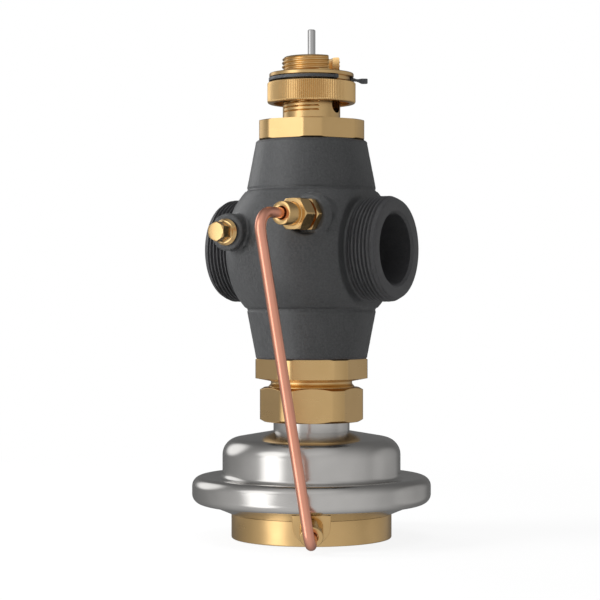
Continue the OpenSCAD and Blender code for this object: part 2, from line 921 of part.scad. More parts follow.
// C-shaped clip with a lug at one end and a folded end at the other
module lock_clip() {
    gap_r = 2 * ring_r;
    color(plastic) {
        translate([0, 0, clip_z + free / 2])
            linear_extrude(clip_h - free) {
                difference() {
                    circle(clip_out_r);
                    circle(clip_in_r);
                    polygon([
                        [0, 0], [gap_r * cos(clip_end_a), gap_r * sin(clip_end_a)],
                        [gap_r * cos(clip_start_a), gap_r * sin(clip_start_a)]
                    ]);
                }
                rotate(clip_start_a)
                    translate([clip_in_r + free, -clip_tab_w])
                        square([clip_tab_r - clip_in_r - clip_tab_w, 2 * clip_tab_w]);
                rotate(clip_end_a)
                    translate([clip_in_r + free, -clip_end_w / 2])
                        square([clip_out_r + clip_end_out - clip_in_r - free, clip_end_w]);
            }
        rotate([0, 0, clip_start_a])
            translate([ring_r + free, -clip_tab_w - clip_tab_side, clip_z + free / 2 - clip_tab_drop])
                cube([clip_tab_r - ring_r - free, 2 * clip_tab_w, clip_tab_h]);
    }
}

module lower_bonnet() {
    color(brass)
        difference() {
            union() {
                translate([0, 0, lower_hex_z])
                    turned_hex(bonnet_flats, lower_turned_r, lower_hex_h, 0, 0,
                               hex_edge, hex_edge_drop);
                translate([0, 0, body_z - cut])
                    cylinder(r = plug_r, h = bonnet_plug_l + cut);
                rotate_extrude()
                    polygon([
                        [0, lower_end_z], [union_thread_r, lower_end_z],
                        [union_thread_r, union_top_z + free],
                        [lower_flare_r, union_top_z + free],
                        [lower_neck_r, union_top_z + free + lower_flare_h],
                        [lower_neck_r, lower_hex_z - lower_cone_h],
                        [lower_cone_r, lower_hex_z - lower_cone_h],
                        [lower_turned_r - hex_edge, lower_hex_z], [0, lower_hex_z + cut]
                    ]);
            }
            translate([0, 0, lower_end_z - cut])
                cylinder(r = lower_bore_r, h = lower_bore_l + cut);
            translate([0, 0, body_z + bonnet_plug_l - lower_bore_l])
                cylinder(r = lower_bore_r, h = lower_bore_l + cut);
            translate([0, 0, lower_end_z])
                cylinder(r = bush_r + fit, h = body_h);
            tube_of(plug_r + cut, plug_r - bonnet_groove, body_z, bonnet_groove);
        }
}

module lower_bonnet_seal() {
    color(rubber)
        ring_of(plug_r - bonnet_groove + bonnet_seal_r + fit, bonnet_seal_r,
                body_z + bonnet_groove / 2);
}

bush_z = body_z + bonnet_plug_l - lower_bore_l - bush_l;

module rod_bush() {
    color(brass)
        difference() {
            union() {
                translate([0, 0, bush_z])
                    cylinder(r = bush_r, h = bush_l + fit);
                translate([0, 0, bush_z + bush_l + fit])
                    cylinder(r = bush_flange_r, h = bush_flange_h);
            }
            translate([0, 0, bush_z - cut])
                cylinder(r = rod_r + run_fit, h = bush_l + bush_flange_h + 3 * cut);
            translate([0, 0, bush_z + bush_l / 2 - rod_seal_r - fit])
                cylinder(r = rod_r + rod_seal_back, h = 2 * rod_seal_r + 2 * fit);
        }
}

module rod_seal() {
    color(rubber)
        ring_of(rod_r + rod_seal_back - rod_seal_r - fit, rod_seal_r, bush_z + bush_l / 2);
}

module union_nut() {
    color(brass)
        difference() {
            translate([0, 0, union_z])
                turned_hex(union_flats, union_turned_r, union_h,
                           union_edge, union_edge_drop, union_edge, union_edge_drop);
            translate([0, 0, union_z + union_lip_h])
                cylinder(r = union_bore_r, h = union_h);
            translate([0, 0, union_z - cut])
                cylinder(r = steel_neck_r + free, h = union_h);
        }
}

module steel_neck() {
    low_z = dome_top_z - steel_neck_in;
    color(steel)
        rotate_extrude()
            polygon([
                [steel_neck_bore_r, low_z], [steel_neck_r, low_z],
                [steel_neck_r, collar_seat_z], [steel_collar_r, collar_seat_z],
                [steel_collar_r, collar_seat_z + steel_collar_h],
                [steel_neck_bore_r, collar_seat_z + steel_collar_h]
            ]);
}

module neck_gasket() {
    color(rubber)
        tube_of(steel_collar_r, steel_neck_bore_r, gasket_z, gasket_h);
}

// Outline of the dome and band at a depth below the outer skin
function skin(t) = concat(
    [[steel_neck_r + snug, dome_top_z - t / cos(dome_slope)]],
    arc([dome_r - dome_corner,
         dome_top_z - (dome_r - dome_corner - steel_neck_r) * tan(dome_slope) - dome_corner],
        dome_corner - t, quarter_turn - dome_slope, 0),
    arc([dome_r + valley_r, band_top_z - valley_drop + valley_r],
        valley_r + t, half_turn, half_turn + quarter_turn),
    arc([band_r - band_corner, band_top_z - band_corner], band_corner - t, quarter_turn, 0),
    arc([band_r - band_corner, band_z + band_corner], band_corner - t, 0, -quarter_turn),
    [[curl_r, band_z + t]]
);

function reversed(list) = [for (i = [len(list) - 1 : -1 : 0]) list[i]];

module upper_shell() {
    color(steel)
        rotate_extrude()
            polygon(concat(skin(0), reversed(skin(sheet_t))));
}

module lower_shell() {
    color(steel)
        difference() {
            rotate_extrude()
                polygon([
                    [shell_hole_r, shell_floor_z], [cone_in_r, shell_floor_z],
                    [curl_r - fit, shell_floor_z + cone_drop],
                    [curl_r - fit, lower_rim_z],
                    [rim_out_r, lower_rim_z], [rim_out_r, lower_rim_z + sheet_t],
                    [rim_in_r, lower_rim_z + sheet_t],
                    [rim_in_r, shell_floor_z + (rim_in_r - cone_in_r) * tan(cone_slope)
                        + sheet_t / cos(cone_slope)],
                    [cone_in_r - sheet_t * tan(cone_slope / 2), shell_floor_z + sheet_t],
                    [shell_hole_r, shell_floor_z + sheet_t]
                ]);
            for (i = [0 : screw_count - 1])
                rotate([0, 0, full_turn * i / screw_count])
                    translate([screw_at_r, 0, shell_floor_z - cut])
                        cylinder(r = screw_r + fit, h = sheet_t + 2 * cut);
        }
}

module clamp_ring() {
    color(dark_steel)
        tube_of(rim_out_r, rim_in_r, clamp_z, clamp_top_z - clamp_z);
}

module spring_seat() {
    color(dark_steel)
        rotate_extrude()
            polygon([
                [seat_in_r, seat_bottom_z], [seat_out_r, seat_bottom_z],
                [seat_out_r, seat_edge_z],
                [seat_in_r, seat_edge_z + (seat_out_r - seat_in_r) * tan(dome_slope)]
            ]);
}

module regulator_spring() {
    color(dark_steel)
        coil(regulator_coil_r, regulator_wire_r, regulator_turns, upper_plate_top_z + free,
             seat_bottom_z - free - upper_plate_top_z - free);
}

module regulator_rod() {
    color(steel)
        translate([0, 0, rod_bottom_z])
            cylinder(r = rod_r, h = rod_top_z - rod_bottom_z + free);
}

module regulator_cone() {
    color(brass)
        difference() {
            union() {
                translate([0, 0, regulator_cone_z])
                    cylinder(r = cone_r, h = regulator_cone_h);
                translate([0, 0, regulator_cone_z - regulator_hub_h])
                    cylinder(r = regulator_hub_r, h = regulator_hub_h + cut);
            }
            translate([0, 0, regulator_cone_z - regulator_hub_h - cut])
                cylinder(r = rod_r + snug, h = regulator_cone_h + regulator_hub_h + 2 * cut);
            tube_of(cone_seal_out_r + fit, cone_seal_in_r - fit,
                    regulator_top_z - regulator_seal_h - fit, regulator_seal_h + cut);
        }
}

module regulator_seal() {
    color(rubber)
        tube_of(cone_seal_out_r, cone_seal_in_r, regulator_top_z - regulator_seal_h,
                regulator_seal_h);
}

module rod_top_nut() {
    color(steel)
        translate([0, 0, regulator_top_z + fit])
            hex_nut(top_nut_flats, rod_r + snug, top_nut_h - fit);
}

module rod_bottom_nut() {
    color(steel)
        translate([0, 0, bottom_nut_z])
            hex_nut(rod_nut_flats, rod_r + snug, rod_nut_h);
}

// Diaphragm with one rolled fold between its plates and its clamped rim
module diaphragm() {
    mid_r = (roll_in_r + roll_out_r) / 2;
    bow_r = (roll_r * roll_r + roll_bow * roll_bow) / (2 * roll_bow);
    bow_a = asin(roll_r / bow_r);
    low = arc([mid_r, diaphragm_z + roll_bow - bow_r], bow_r,
              quarter_turn + bow_a, quarter_turn - bow_a);
    high = arc([mid_r, diaphragm_z + diaphragm_t + roll_bow - bow_r], bow_r,
               quarter_turn + bow_a, quarter_turn - bow_a);
    color(rubber)
        rotate_extrude()
            polygon(concat(
                [[rod_r + fit, diaphragm_z]], low, [[rim_out_r, diaphragm_z]],
                [[rim_out_r, diaphragm_z + diaphragm_t]], reversed(high),
                [[rod_r + fit, diaphragm_z + diaphragm_t]]
            ));
}

module upper_plate() {
    color(steel)
        tube_of(plate_r, rod_r + snug, upper_plate_z, plate_t);
}

module lower_plate() {
    color(steel)
        tube_of(plate_r, rod_r + snug, lower_plate_z, lower_plate_t);
}

// Outline of the pad, seen along its own direction
module pad_outline() {
    circle(pad_r);
    translate([-pad_r, 0])
        square([2 * pad_r, band_z]);
}

module base_pad() {
    face_l = 2 * band_z;
    difference() {
        rotate([0, 0, pad_turn])
            difference() {
                translate([pad_back_r, 0, pad_z])
                    rotate([quarter_turn, 0, quarter_turn])
                        linear_extrude(joint_r)
                            pad_outline();
                translate([joint_r, -base_r, joint_z])
                    rotate([0, joint_tilt, 0])
                        translate([0, 0, -face_l])
                            cube([base_r, base_d, 2 * face_l]);
            }
        rotate_extrude()
            polygon([
                [0, shell_floor_z - pad_gap], [cone_in_r, shell_floor_z - pad_gap],
                [curl_r, shell_floor_z + cone_drop - pad_gap],
                [band_d, shell_floor_z + cone_drop - pad_gap],
                [band_d, band_top_z], [0, band_top_z]
            ]);
    }
}

module base_ring() {
    color(brass)
        difference() {
            union() {
                rotate_extrude()
                    polygon([
                        [0, 0], [under_in_r, 0], [under_in_r, under_h],
                        [under_out_r, under_h], [under_out_r, 0],
                        [base_r - base_edge, 0], [base_r, base_edge],
                        [base_r, base_h - base_edge], [base_r - base_edge, base_h - fit],
                        [0, base_h - fit]
                    ]);
                base_pad();
                at_lower_joint()
                    translate([0, 0, -joint_drill_l])
                        cylinder(r = joint_stud_r, h = joint_stud_l + joint_drill_l);
            }
            at_lower_joint() {
                translate([0, 0, joint_stud_l - stud_bore_l])
                    cylinder(r = tube_r + fit, h = joint_stud_l);
                translate([0, 0, -joint_drill_l])
                    cylinder(r = base_channel_r, h = joint_stud_l + joint_drill_l);
            }
            rotate([0, 0, pad_turn])
                translate([0, 0, base_channel_z])
                    rotate([0, quarter_turn, 0])
                        cylinder(r = base_channel_r, h = joint_r - joint_drill_l / 2);
            translate([0, 0, base_channel_z])
                cylinder(r = drill_r, h = base_h);
            tube_of(base_seal_at_r + base_groove / 2 + fit, base_seal_at_r - base_groove / 2 - fit,
                    shell_floor_z - fit - base_groove, base_h);
            for (i = [0 : screw_count - 1])
                rotate([0, 0, full_turn * i / screw_count])
                    translate([screw_at_r, 0, shell_floor_z - screw_l])
                        cylinder(r = screw_r + fit, h = base_h);
        }
}

module base_seal() {
    color(rubber)
        ring_of(base_seal_at_r, base_seal_r - fit, shell_floor_z - base_seal_r - fit / 2);
}

module base_screws() {
    color(steel)
        for (i = [0 : screw_count - 1])
            rotate([0, 0, full_turn * i / screw_count])
                translate([screw_at_r, 0, shell_floor_z + sheet_t + fit / 2]) {
                    cylinder(r = screw_head_r, h = screw_head_h);
                    translate([0, 0, -screw_l])
                        cylinder(r = screw_r, h = screw_l + snug);
                }
}

module upper_fitting_body() {
    color(brass)
        at_upper_fitting()
            difference() {
                union() {
                    translate([0, 0, fit])
                        rotate([0, 0, half_turn / 6])
                            turned_hex(fitting_flats, fitting_flats * 0.565, fitting_hex_h - fit,
                                       fitting_hex_edge, hex_edge, fitting_hex_edge, hex_edge);
                    translate([0, 0, -stud_l + fit])
                        cylinder(r = stud_r, h = stud_l + cut);
                    translate([0, 0, fitting_hex_h - snug])
                        cylinder(r = male_thread_r, h = male_thread_l + snug);
                }
                translate([0, 0, -stud_l - cut])
                    cylinder(r = drill_r, h = stud_l + body_end_z + 2 * cut);
                translate([0, 0, body_end_z - body_tube_l])
                    cylinder(r = tube_r + fit, h = body_tube_l + cut);
            }
}

module upper_fitting_nut() {
    nose_z = nut_z + nut_hex_l;
    color(brass)
        at_upper_fitting()
            difference() {
                union() {
                    translate([0, 0, nut_z])
                        rotate([0, 0, half_turn / 6])
                            turned_hex(fitting_flats, fitting_flats * 0.565, nut_hex_l,
                                       fitting_hex_edge, hex_edge, fitting_hex_edge, hex_edge);
                    translate([0, 0, nose_z - snug])
                        cylinder(r = nose_r, h = nut_nose_l - nose_edge + snug);
                    translate([0, 0, nut_end_z - nose_edge])
                        cylinder(r1 = nose_r, r2 = nose_r - nose_edge, h = nose_edge);
                }
                translate([0, 0, nut_z - cut])
                    cylinder(r = male_thread_r + fit, h = body_end_z - nut_z + ferrule_l + 2 * fit + cut);
                translate([0, 0, nut_z])
                    cylinder(r = nose_hole_r, h = nut_end_z);
            }
}

// Olive that grips the tube in front of the fitting body
module ferrule(z) {
    difference() {
        translate([0, 0, z]) {
            cylinder(r1 = tube_r + ferrule_wall / 2, r2 = tube_r + ferrule_wall, h = ferrule_l / 2);
            translate([0, 0, ferrule_l / 2])
                cylinder(r1 = tube_r + ferrule_wall, r2 = nose_hole_r - fit, h = ferrule_l / 2);
        }
        translate([0, 0, z - cut])
            cylinder(r = tube_r + snug, h = ferrule_l + 2 * cut);
    }
}

module upper_ferrule() {
    color(brass)
        at_upper_fitting()
            ferrule(body_end_z + fit);
}

module lower_fitting_nut() {
    color(brass)
        at_lower_joint()
            difference() {
                union() {
                    translate([0, 0, fit])
                        cylinder(r = nose_r, h = nose_l - nose_edge - fit);
                    translate([0, 0, nose_l - nose_edge])
                        cylinder(r1 = nose_r, r2 = nose_r - nose_edge, h = nose_edge);
                }
                translate([0, 0, -cut])
                    cylinder(r = joint_stud_r + fit, h = joint_stud_l + ferrule_l + 2 * fit + cut);
                cylinder(r = nose_hole_r, h = nose_l + cut);
            }
}

module lower_ferrule() {
    color(brass)
        at_lower_joint()
            ferrule(joint_stud_l + fit);
}

// Straight rod between two points, shortened at its ends
module straight_rod(r, from, to, skip_from, skip_to) {
    way = to - from;
    translate(from)
        rotate([0, polar_of(way), turn_of(way)])
            translate([0, 0, skip_from])
                cylinder(r = r, h = length3(way) - skip_from - skip_to);
}

// Bent rod at a corner, from one run's direction to the next
module bent_rod(r, before, corner, after, bend_r) {
    way = unit3(corner - before);
    next = unit3(after - corner);
    p = polar_of(way);
    t = turn_of(way);
    spin = atan2(dot3(next, side_y(t)), dot3(next, side_x(p, t)));
    bend = bend_of(way, next);
    translate(corner - bend_r * tan(bend / 2) * way)
        rotate([0, p, t])
            rotate([0, 0, spin])
                translate([bend_r, 0, 0])
                    rotate([quarter_turn, 0, half_turn])
                        rotate_extrude(angle = bend)
                            translate([bend_r, 0])
                                circle(r + bend_swell);
}

// The tube's way from joint to joint as a solid rod
module tube_way(r, over) {
    top_skip = upper_bend_r * tan(bend_of(tube_corner_top - tube_start,
                                          tube_corner_low - tube_corner_top) / 2);
    low_skip = lower_bend_r * tan(bend_of(tube_corner_low - tube_corner_top,
                                          tube_finish - tube_corner_low) / 2);
    straight_rod(r, tube_start, tube_corner_top, -over, top_skip - bend_lap);
    bent_rod(r, tube_start, tube_corner_top, tube_corner_low, upper_bend_r);
    straight_rod(r, tube_corner_top, tube_corner_low, top_skip - bend_lap, low_skip - bend_lap);
    bent_rod(r, tube_corner_top, tube_corner_low, tube_finish, lower_bend_r);
    straight_rod(r, tube_corner_low, tube_finish, low_skip - bend_lap, -over);
}

module impulse_tube() {
    color(copper)
        difference() {
            tube_way(tube_r, 0);
            tube_way(tube_bore_r, cut);
        }
}

module test_plug() {
    color(brass)
        at_plug()
            difference() {
                union() {
                    translate([0, 0, -stud_l + fit])
                        cylinder(r = stud_r, h = stud_l + washer_h + cut);
                    translate([0, 0, washer_h + fit])
                        cylinder(r = plug_flange_r, h = plug_flange_h);
                    translate([0, 0, washer_h + fit + plug_flange_h - plug_dish_h])
                        turned_hex(plug_hex_flats, plug_hex_flats * 0.56, plug_hex_l + plug_dish_h,
                                   0, 0, hex_edge, hex_edge_drop);
                }
                difference() {
                    translate([0, 0, washer_h + fit + plug_flange_h - plug_dish_h])
                        cylinder(r = plug_dish_r, h = plug_dish_h + cut);
                    turned_hex(plug_hex_flats, plug_hex_flats, plug_hex_l + plug_flange_h + cut,
                               0, 0, 0, 0);
                }
            }
}

module plug_washer() {
    color(rubber)
        at_plug()
            tube_of(washer_r, stud_r + fit, fit / 2, washer_h);
}

valve_body();
valve_insert();
insert_seal();
upper_bonnet();
upper_bonnet_seal();
stem_seals();
gland_nut();
control_stem();
control_cone();
cone_seal();
lift_collar();
closing_spring();
setting_ring();
limit_bar();
lock_clip();
lower_bonnet();
lower_bonnet_seal();
rod_bush();
rod_seal();
union_nut();
steel_neck();
neck_gasket();
upper_shell();
lower_shell();
clamp_ring();
spring_seat();
regulator_rod();
regulator_cone();
regulator_seal();
rod_top_nut();
diaphragm();
upper_plate();
lower_plate();
rod_bottom_nut();
regulator_spring();
base_ring();
base_seal();
base_screws();
impulse_tube();
upper_fitting_body();
upper_fitting_nut();
upper_ferrule();
lower_fitting_nut();
lower_ferrule();
test_plug();
plug_washer();
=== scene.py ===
import json
import math

import bmesh
import bpy
from mathutils import Matrix, Vector, noise

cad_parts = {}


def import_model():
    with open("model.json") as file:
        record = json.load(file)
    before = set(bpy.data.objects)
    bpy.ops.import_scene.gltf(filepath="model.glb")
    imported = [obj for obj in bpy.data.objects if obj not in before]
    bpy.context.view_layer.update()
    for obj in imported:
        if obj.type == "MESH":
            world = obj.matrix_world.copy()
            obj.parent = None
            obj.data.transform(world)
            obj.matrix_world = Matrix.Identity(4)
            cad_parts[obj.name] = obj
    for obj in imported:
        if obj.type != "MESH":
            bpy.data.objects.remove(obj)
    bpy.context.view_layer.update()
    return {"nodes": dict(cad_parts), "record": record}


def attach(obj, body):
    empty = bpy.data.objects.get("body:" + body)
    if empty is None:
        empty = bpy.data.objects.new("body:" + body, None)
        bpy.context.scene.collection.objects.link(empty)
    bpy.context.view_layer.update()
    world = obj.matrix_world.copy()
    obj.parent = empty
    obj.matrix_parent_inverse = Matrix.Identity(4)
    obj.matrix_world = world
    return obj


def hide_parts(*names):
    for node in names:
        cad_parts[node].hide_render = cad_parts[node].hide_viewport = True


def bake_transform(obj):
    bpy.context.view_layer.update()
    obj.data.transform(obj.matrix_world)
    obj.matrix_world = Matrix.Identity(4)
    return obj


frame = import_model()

MM = 0.001
TURN = 2 * math.pi
UP = Vector((0, 0, 1))
TINY = 1e-6

# Sizes in millimetres, the same as the solids have. Heights are above the base's underside.
PORT_Z = 165.2
PORT_R = 29.8
PORT_FACE_X = 55
BORE_R = 20.0
PITCH = 2.309
PITCH_STEP = PITCH / 14
THREAD_DEPTH = 1.3

BONNET_FLATS = 60
HEX_BEVEL = (0.7, 0.4)
BODY_LOW_Z = 102.7
BODY_TOP_Z = 227.7
HEX_TOP_Z = 239.0
NECK_R = 16.55
NECK_TOP_Z = 276.0
RING_Z = 249.3

DOME_TOP_Z = 61.2
DOME_SLOPE = 10.4
SHEET = 2.0
BASE_R = 46.05
BASE_TOP_Z = 13.97

# The lower tube joint: its turn round the axis, place and tilt
JOINT_TURN = math.radians(-60.7)
JOINT_R = 52.9
JOINT_Z = 12
JOINT_TILT = math.radians(24)
TUBE_R = 3.0

VIEW_TURN = math.radians(29.3)


# Node trees

MIX_COLOUR_A, MIX_COLOUR_B, MIX_COLOUR_OUT = 6, 7, 2
NOISE_LOW, NOISE_HIGH = 0.3, 0.7


class Tree:
    """A node tree with short calls for the nodes that the looks here share."""

    def __init__(self, owner):
        owner.use_nodes = True
        self.tree = owner.node_tree

    def node(self, kind, **values):
        made = self.tree.nodes.new(kind)
        for key, value in values.items():
            setattr(made, key, value)
        return made

    def link(self, a, b):
        self.tree.links.new(a, b)

    def span(self, fac, start, end, low, high, curve="LINEAR"):
        """fac, stretched from between start and end to between low and high."""
        made = self.node("ShaderNodeMapRange", interpolation_type=curve)
        for key, value in (("From Min", start), ("From Max", end), ("To Min", low),
                           ("To Max", high)):
            made.inputs[key].default_value = value
        self.link(fac, made.inputs["Value"])
        return made.outputs["Result"]

    def math(self, operation, a, b):
        made = self.node("ShaderNodeMath", operation=operation)
        self.link(a, made.inputs[0])
        self.link(b, made.inputs[1])
        return made.outputs[0]

    def mixed(self, fac, a, b):
        """Shader a where fac is 0 and shader b where it is 1."""
        made = self.node("ShaderNodeMixShader")
        for socket, value in zip(made.inputs, (fac, a, b)):
            self.link(value, socket)
        return made.outputs[0]


class Finish(Tree):
    """A material whose colour, roughness and bump follow noise."""

    def __init__(self, name, colour, rough, metal=0.0, specular=0.5):
        self.mat = bpy.data.materials.new(name)
        super().__init__(self.mat)
        self.bsdf = self.tree.nodes["Principled BSDF"]
        self.bsdf.inputs["Metallic"].default_value = metal
        self.bsdf.inputs["Roughness"].default_value = rough
        self.bsdf.inputs["Base Color"].default_value = (*colour, 1)
        self.bsdf.inputs["Specular IOR Level"].default_value = specular
        self.mat.diffuse_color = (*colour, 1)
        self.where = self.node("ShaderNodeTexCoord").outputs["Object"]
        self.bump_in = None

    def noise(self, scale, detail=3.0, rough=0.55, stretch=None):
        where = self.where
        if stretch:
            mapping = self.node("ShaderNodeMapping")
            mapping.inputs["Scale"].default_value = stretch
            self.link(where, mapping.inputs["Vector"])
            where = mapping.outputs["Vector"]
        tex = self.node("ShaderNodeTexNoise")
        tex.inputs["Scale"].default_value = scale
        tex.inputs["Detail"].default_value = detail
        tex.inputs["Roughness"].default_value = rough
        self.link(where, tex.inputs["Vector"])
        return tex.outputs["Fac"]

    def swing(self, fac, low, high):
        """A value from low to high over the part of its range that a noise mostly covers."""
        return self.span(fac, NOISE_LOW, NOISE_HIGH, low, high)

    def ramp(self, fac, low, high, high_at=NOISE_HIGH):
        made = self.node("ShaderNodeValToRGB")
        ends = made.color_ramp.elements
        for end, at, colour in zip(ends, (NOISE_LOW, high_at), (low, high)):
            end.position = at
            end.color = (*colour, 1)
        self.link(fac, made.inputs["Fac"])
        return made.outputs["Color"]

    def flecked(self, fac, base, colour):
        """The base colour turned towards another one as fac says."""
        made = self.node("ShaderNodeMix", data_type="RGBA")
        self.link(fac, made.inputs["Factor"])
        self.link(base, made.inputs[MIX_COLOUR_A])
        made.inputs[MIX_COLOUR_B].default_value = (*colour, 1)
        return made.outputs[MIX_COLOUR_OUT]

    def colour(self, socket):
        self.link(socket, self.bsdf.inputs["Base Color"])

    def rough(self, fac, low, high):
        self.link(self.swing(fac, low, high), self.bsdf.inputs["Roughness"])

    def bump(self, fac, depth, strength):
        made = self.node("ShaderNodeBump")
        made.inputs["Strength"].default_value = strength
        made.inputs["Distance"].default_value = depth * MM
        self.link(fac, made.inputs["Height"])
        if self.bump_in is not None:
            self.link(self.bump_in, made.inputs["Normal"])
        self.bump_in = made.outputs["Normal"]
        self.link(self.bump_in, self.bsdf.inputs["Normal"])


def cast_iron():
    s = Finish("cast_iron", (0.045, 0.045, 0.048), 0.45, specular=0.42)
    grain = s.noise(850, 4, 0.6)
    base = s.ramp(s.noise(45, 3), (0.026, 0.027, 0.028), (0.035, 0.036, 0.037))
    s.colour(s.flecked(s.swing(grain, 0.0, 0.7), base, (0.058, 0.059, 0.060)))
    s.rough(grain, 0.32, 0.46)
    s.bump(s.noise(260, 3), 0.16, 0.5)
    s.bump(grain, 0.15, 0.8)
    return s.mat


def machined_iron():
    s = Finish("machined_iron", (0.040, 0.040, 0.043), 0.4, specular=0.45)
    fine = s.noise(900, 3, 0.6)
    marks = s.noise(60, 2, 0.5, (60, 1, 1))
    s.colour(s.ramp(fine, (0.027, 0.027, 0.029), (0.044, 0.044, 0.046), 0.75))
    s.rough(marks, 0.34, 0.46)
    s.bump(marks, 0.03, 0.4)
    s.bump(fine, 0.03, 0.3)
    return s.mat


def brass(name, stretch, rough):
    s = Finish(name, (0.71, 0.47, 0.21), 0.28, 1.0)
    marks = s.noise(35, 3, 0.6, stretch)
    fine = s.noise(1400, 2, 0.6)
    base = s.ramp(s.noise(60, 2), (0.69, 0.455, 0.200), (0.74, 0.495, 0.225))
    s.colour(s.flecked(s.swing(fine, 0.0, 0.05), base, (0.78, 0.60, 0.33)))
    s.rough(marks, *rough)
    s.bump(marks, 0.0008, 0.15)
    s.bump(fine, 0.0010, 0.15)
    return s.mat


def steel(name, colour, rough, stretch):
    s = Finish(name, colour, rough, 1.0)
    marks = s.noise(30, 3, 0.6, stretch)
    low, high = (tuple(c * share for c in colour) for share in (0.93, 1.06))
    s.colour(s.ramp(s.noise(40, 2), low, high))
    s.rough(marks, rough * 0.94, rough * 1.08)
    s.bump(marks, 0.0003, 0.1)
    return s.mat


def copper():
    s = Finish("copper", (0.90, 0.41, 0.28), 0.28, 1.0)
    fine = s.noise(700, 3, 0.6, (1, 1, 0.2))
    base = s.ramp(s.noise(70, 3), (0.88, 0.39, 0.265), (0.93, 0.43, 0.30))
    s.colour(s.flecked(s.swing(fine, 0.0, 0.1), base, (0.93, 0.50, 0.37)))
    s.rough(fine, 0.29, 0.33)
    s.bump(fine, 0.0005, 0.1)
    return s.mat


def dark_soft(name, colour, low, high, scale, rough, rough_span, depth, strength):
    """Rubber or plastic: a dark colour and a dull sheen that follow one fine noise."""
    s = Finish(name, colour, rough)
    fine = s.noise(scale, 3)
    s.colour(s.ramp(fine, low, high))
    s.rough(fine, *rough_span)
    s.bump(fine, depth, strength)
    return s.mat


IRON = cast_iron()
IRON_CUT = machined_iron()
BRASS = brass("brass_turned", (1, 1, 12), (0.27, 0.30))
BRASS_FLAT = brass("brass_milled", (12, 12, 3), (0.27, 0.30))
BRASS_SIDE = brass("brass_fittings", (1, 8, 1), (0.22, 0.26))
STEEL = steel("pressed_steel", (0.60, 0.585, 0.565), 0.20, (1, 1, 8))
STEEL_ROD = steel("stainless_steel", (0.55, 0.545, 0.54), 0.18, (1, 1, 8))
SPRING = steel("spring_steel", (0.30, 0.30, 0.31), 0.32, (1, 1, 40))
COPPER = copper()
RUBBER = dark_soft("rubber", (0.012, 0.012, 0.013), (0.009, 0.009, 0.010),
                   (0.017, 0.017, 0.018), 900, 0.6, (0.5, 0.7), 0.03, 0.4)
PLASTIC = dark_soft("black_plastic", (0.040, 0.042, 0.046), (0.032, 0.034, 0.038),
                    (0.050, 0.053, 0.057), 650, 0.36, (0.3, 0.46), 0.02, 0.3)

FINISH = {
    "cast_iron": IRON,
    "brass": BRASS,
    "stainless_steel": STEEL_ROD,
    "pressed_steel": STEEL,
    "spring_steel": SPRING,
    "copper": COPPER,
    "rubber": RUBBER,
    "black_plastic": PLASTIC,
}
SLOT_OF = {s["node"]: s["material_slot"] for s in frame["record"]["subparts"]}


# Mesh making

FLATTEST_CORNER = math.radians(86)
LONGEST_CUT = 0.45
SMOOTH_UNDER = math.radians(34)
MERGE_M = 1e-7
DEGENERATE_M = 1e-8


def round_corners(points, radius, steps=3, closed=True):
    """The outline with each corner turned into a short arc, as far as its sides allow."""
    made = []
    count = len(points)
    for i, here in enumerate(points):
        r = radius[i] if isinstance(radius, (list, tuple)) else radius
        if not closed and i in (0, count - 1) or r <= 0:
            made.append(here)
            continue
        corner = Vector(here)
        a = Vector(points[i - 1]) - corner
        b = Vector(points[(i + 1) % count]) - corner
        if a.length < TINY or b.length < TINY:
            continue
        half = a.angle(b) / 2
        if half > FLATTEST_CORNER:
            made.append(here)
            continue
        cut = min(r / math.tan(half), a.length * LONGEST_CUT, b.length * LONGEST_CUT)
        start = corner + a.normalized() * cut
        end = corner + b.normalized() * cut
        for k in range(steps + 1):
            t = k / steps
            p = start * (1 - t) ** 2 + corner * (2 * t * (1 - t)) + end * t ** 2
            made.append((p.x, p.y))
    return made


def box_outline(left, right, low, high):
    return [(left, low), (right, low), (right, high), (left, high)]


def arc(cx, cz, r, start, end, steps=18):
    """Points of an arc, angles in degrees."""
    points = []
    for k in range(steps + 1):
        a = math.radians(start + (end - start) * k / steps)
        points.append((cx + r * math.cos(a), cz + r * math.sin(a)))
    return points


def filled(z_from, z_to, r, step):
    """Points up a straight wall, close enough together for a thread."""
    count = max(2, int((z_to - z_from) / step))
    return [(r, z_from + (z_to - z_from) * k / count) for k in range(count + 1)]


def linked(obj):
    bpy.context.scene.collection.objects.link(obj)
    return obj


def copy_of(node, name):
    return linked(bpy.data.objects.new(name, frame["nodes"][node].data.copy()))


def mesh_object(name, verts, faces, place=None):
    mesh = bpy.data.meshes.new(name)
    mesh.from_pydata([(x * MM, y * MM, z * MM) for x, y, z in verts], [], faces)
    if place is not None:
        mesh.transform(place)
    return linked(bpy.data.objects.new(name, mesh))


def smooth(obj):
    for poly in obj.data.polygons:
        poly.use_smooth = True


def clean(obj):
    bm = bmesh.new()
    bm.from_mesh(obj.data)
    bmesh.ops.remove_doubles(bm, verts=bm.verts, dist=MERGE_M)
    bmesh.ops.dissolve_degenerate(bm, edges=bm.edges, dist=DEGENERATE_M)
    bmesh.ops.recalc_face_normals(bm, faces=bm.faces)
    bm.to_mesh(obj.data)
    bm.free()
    smooth(obj)
    obj.data.set_sharp_from_angle(angle=SMOOTH_UNDER)
    return obj


def turned(name, outline, steps=256, place=None, shape=None):
    """The closed outline of (radius, height) turned round the Z axis; shape moves each point."""
    verts = []
    faces = []
    count = len(outline)
    for i in range(steps):
        turn = TURN * i / steps
        c, s = math.cos(turn), math.sin(turn)
        for r, z in outline:
            if shape:
                r, z = shape(turn, r, z)
            verts.append((r * c, r * s, z))
    for i in range(steps):
        a = i * count
        b = (i + 1) % steps * count
        for k in range(count):
            n = (k + 1) % count
            if outline[k][0] < TINY and outline[n][0] < TINY:
                continue
            faces.append((a + k, b + k, b + n, a + n))
    return clean(mesh_object(name, verts, faces, place))


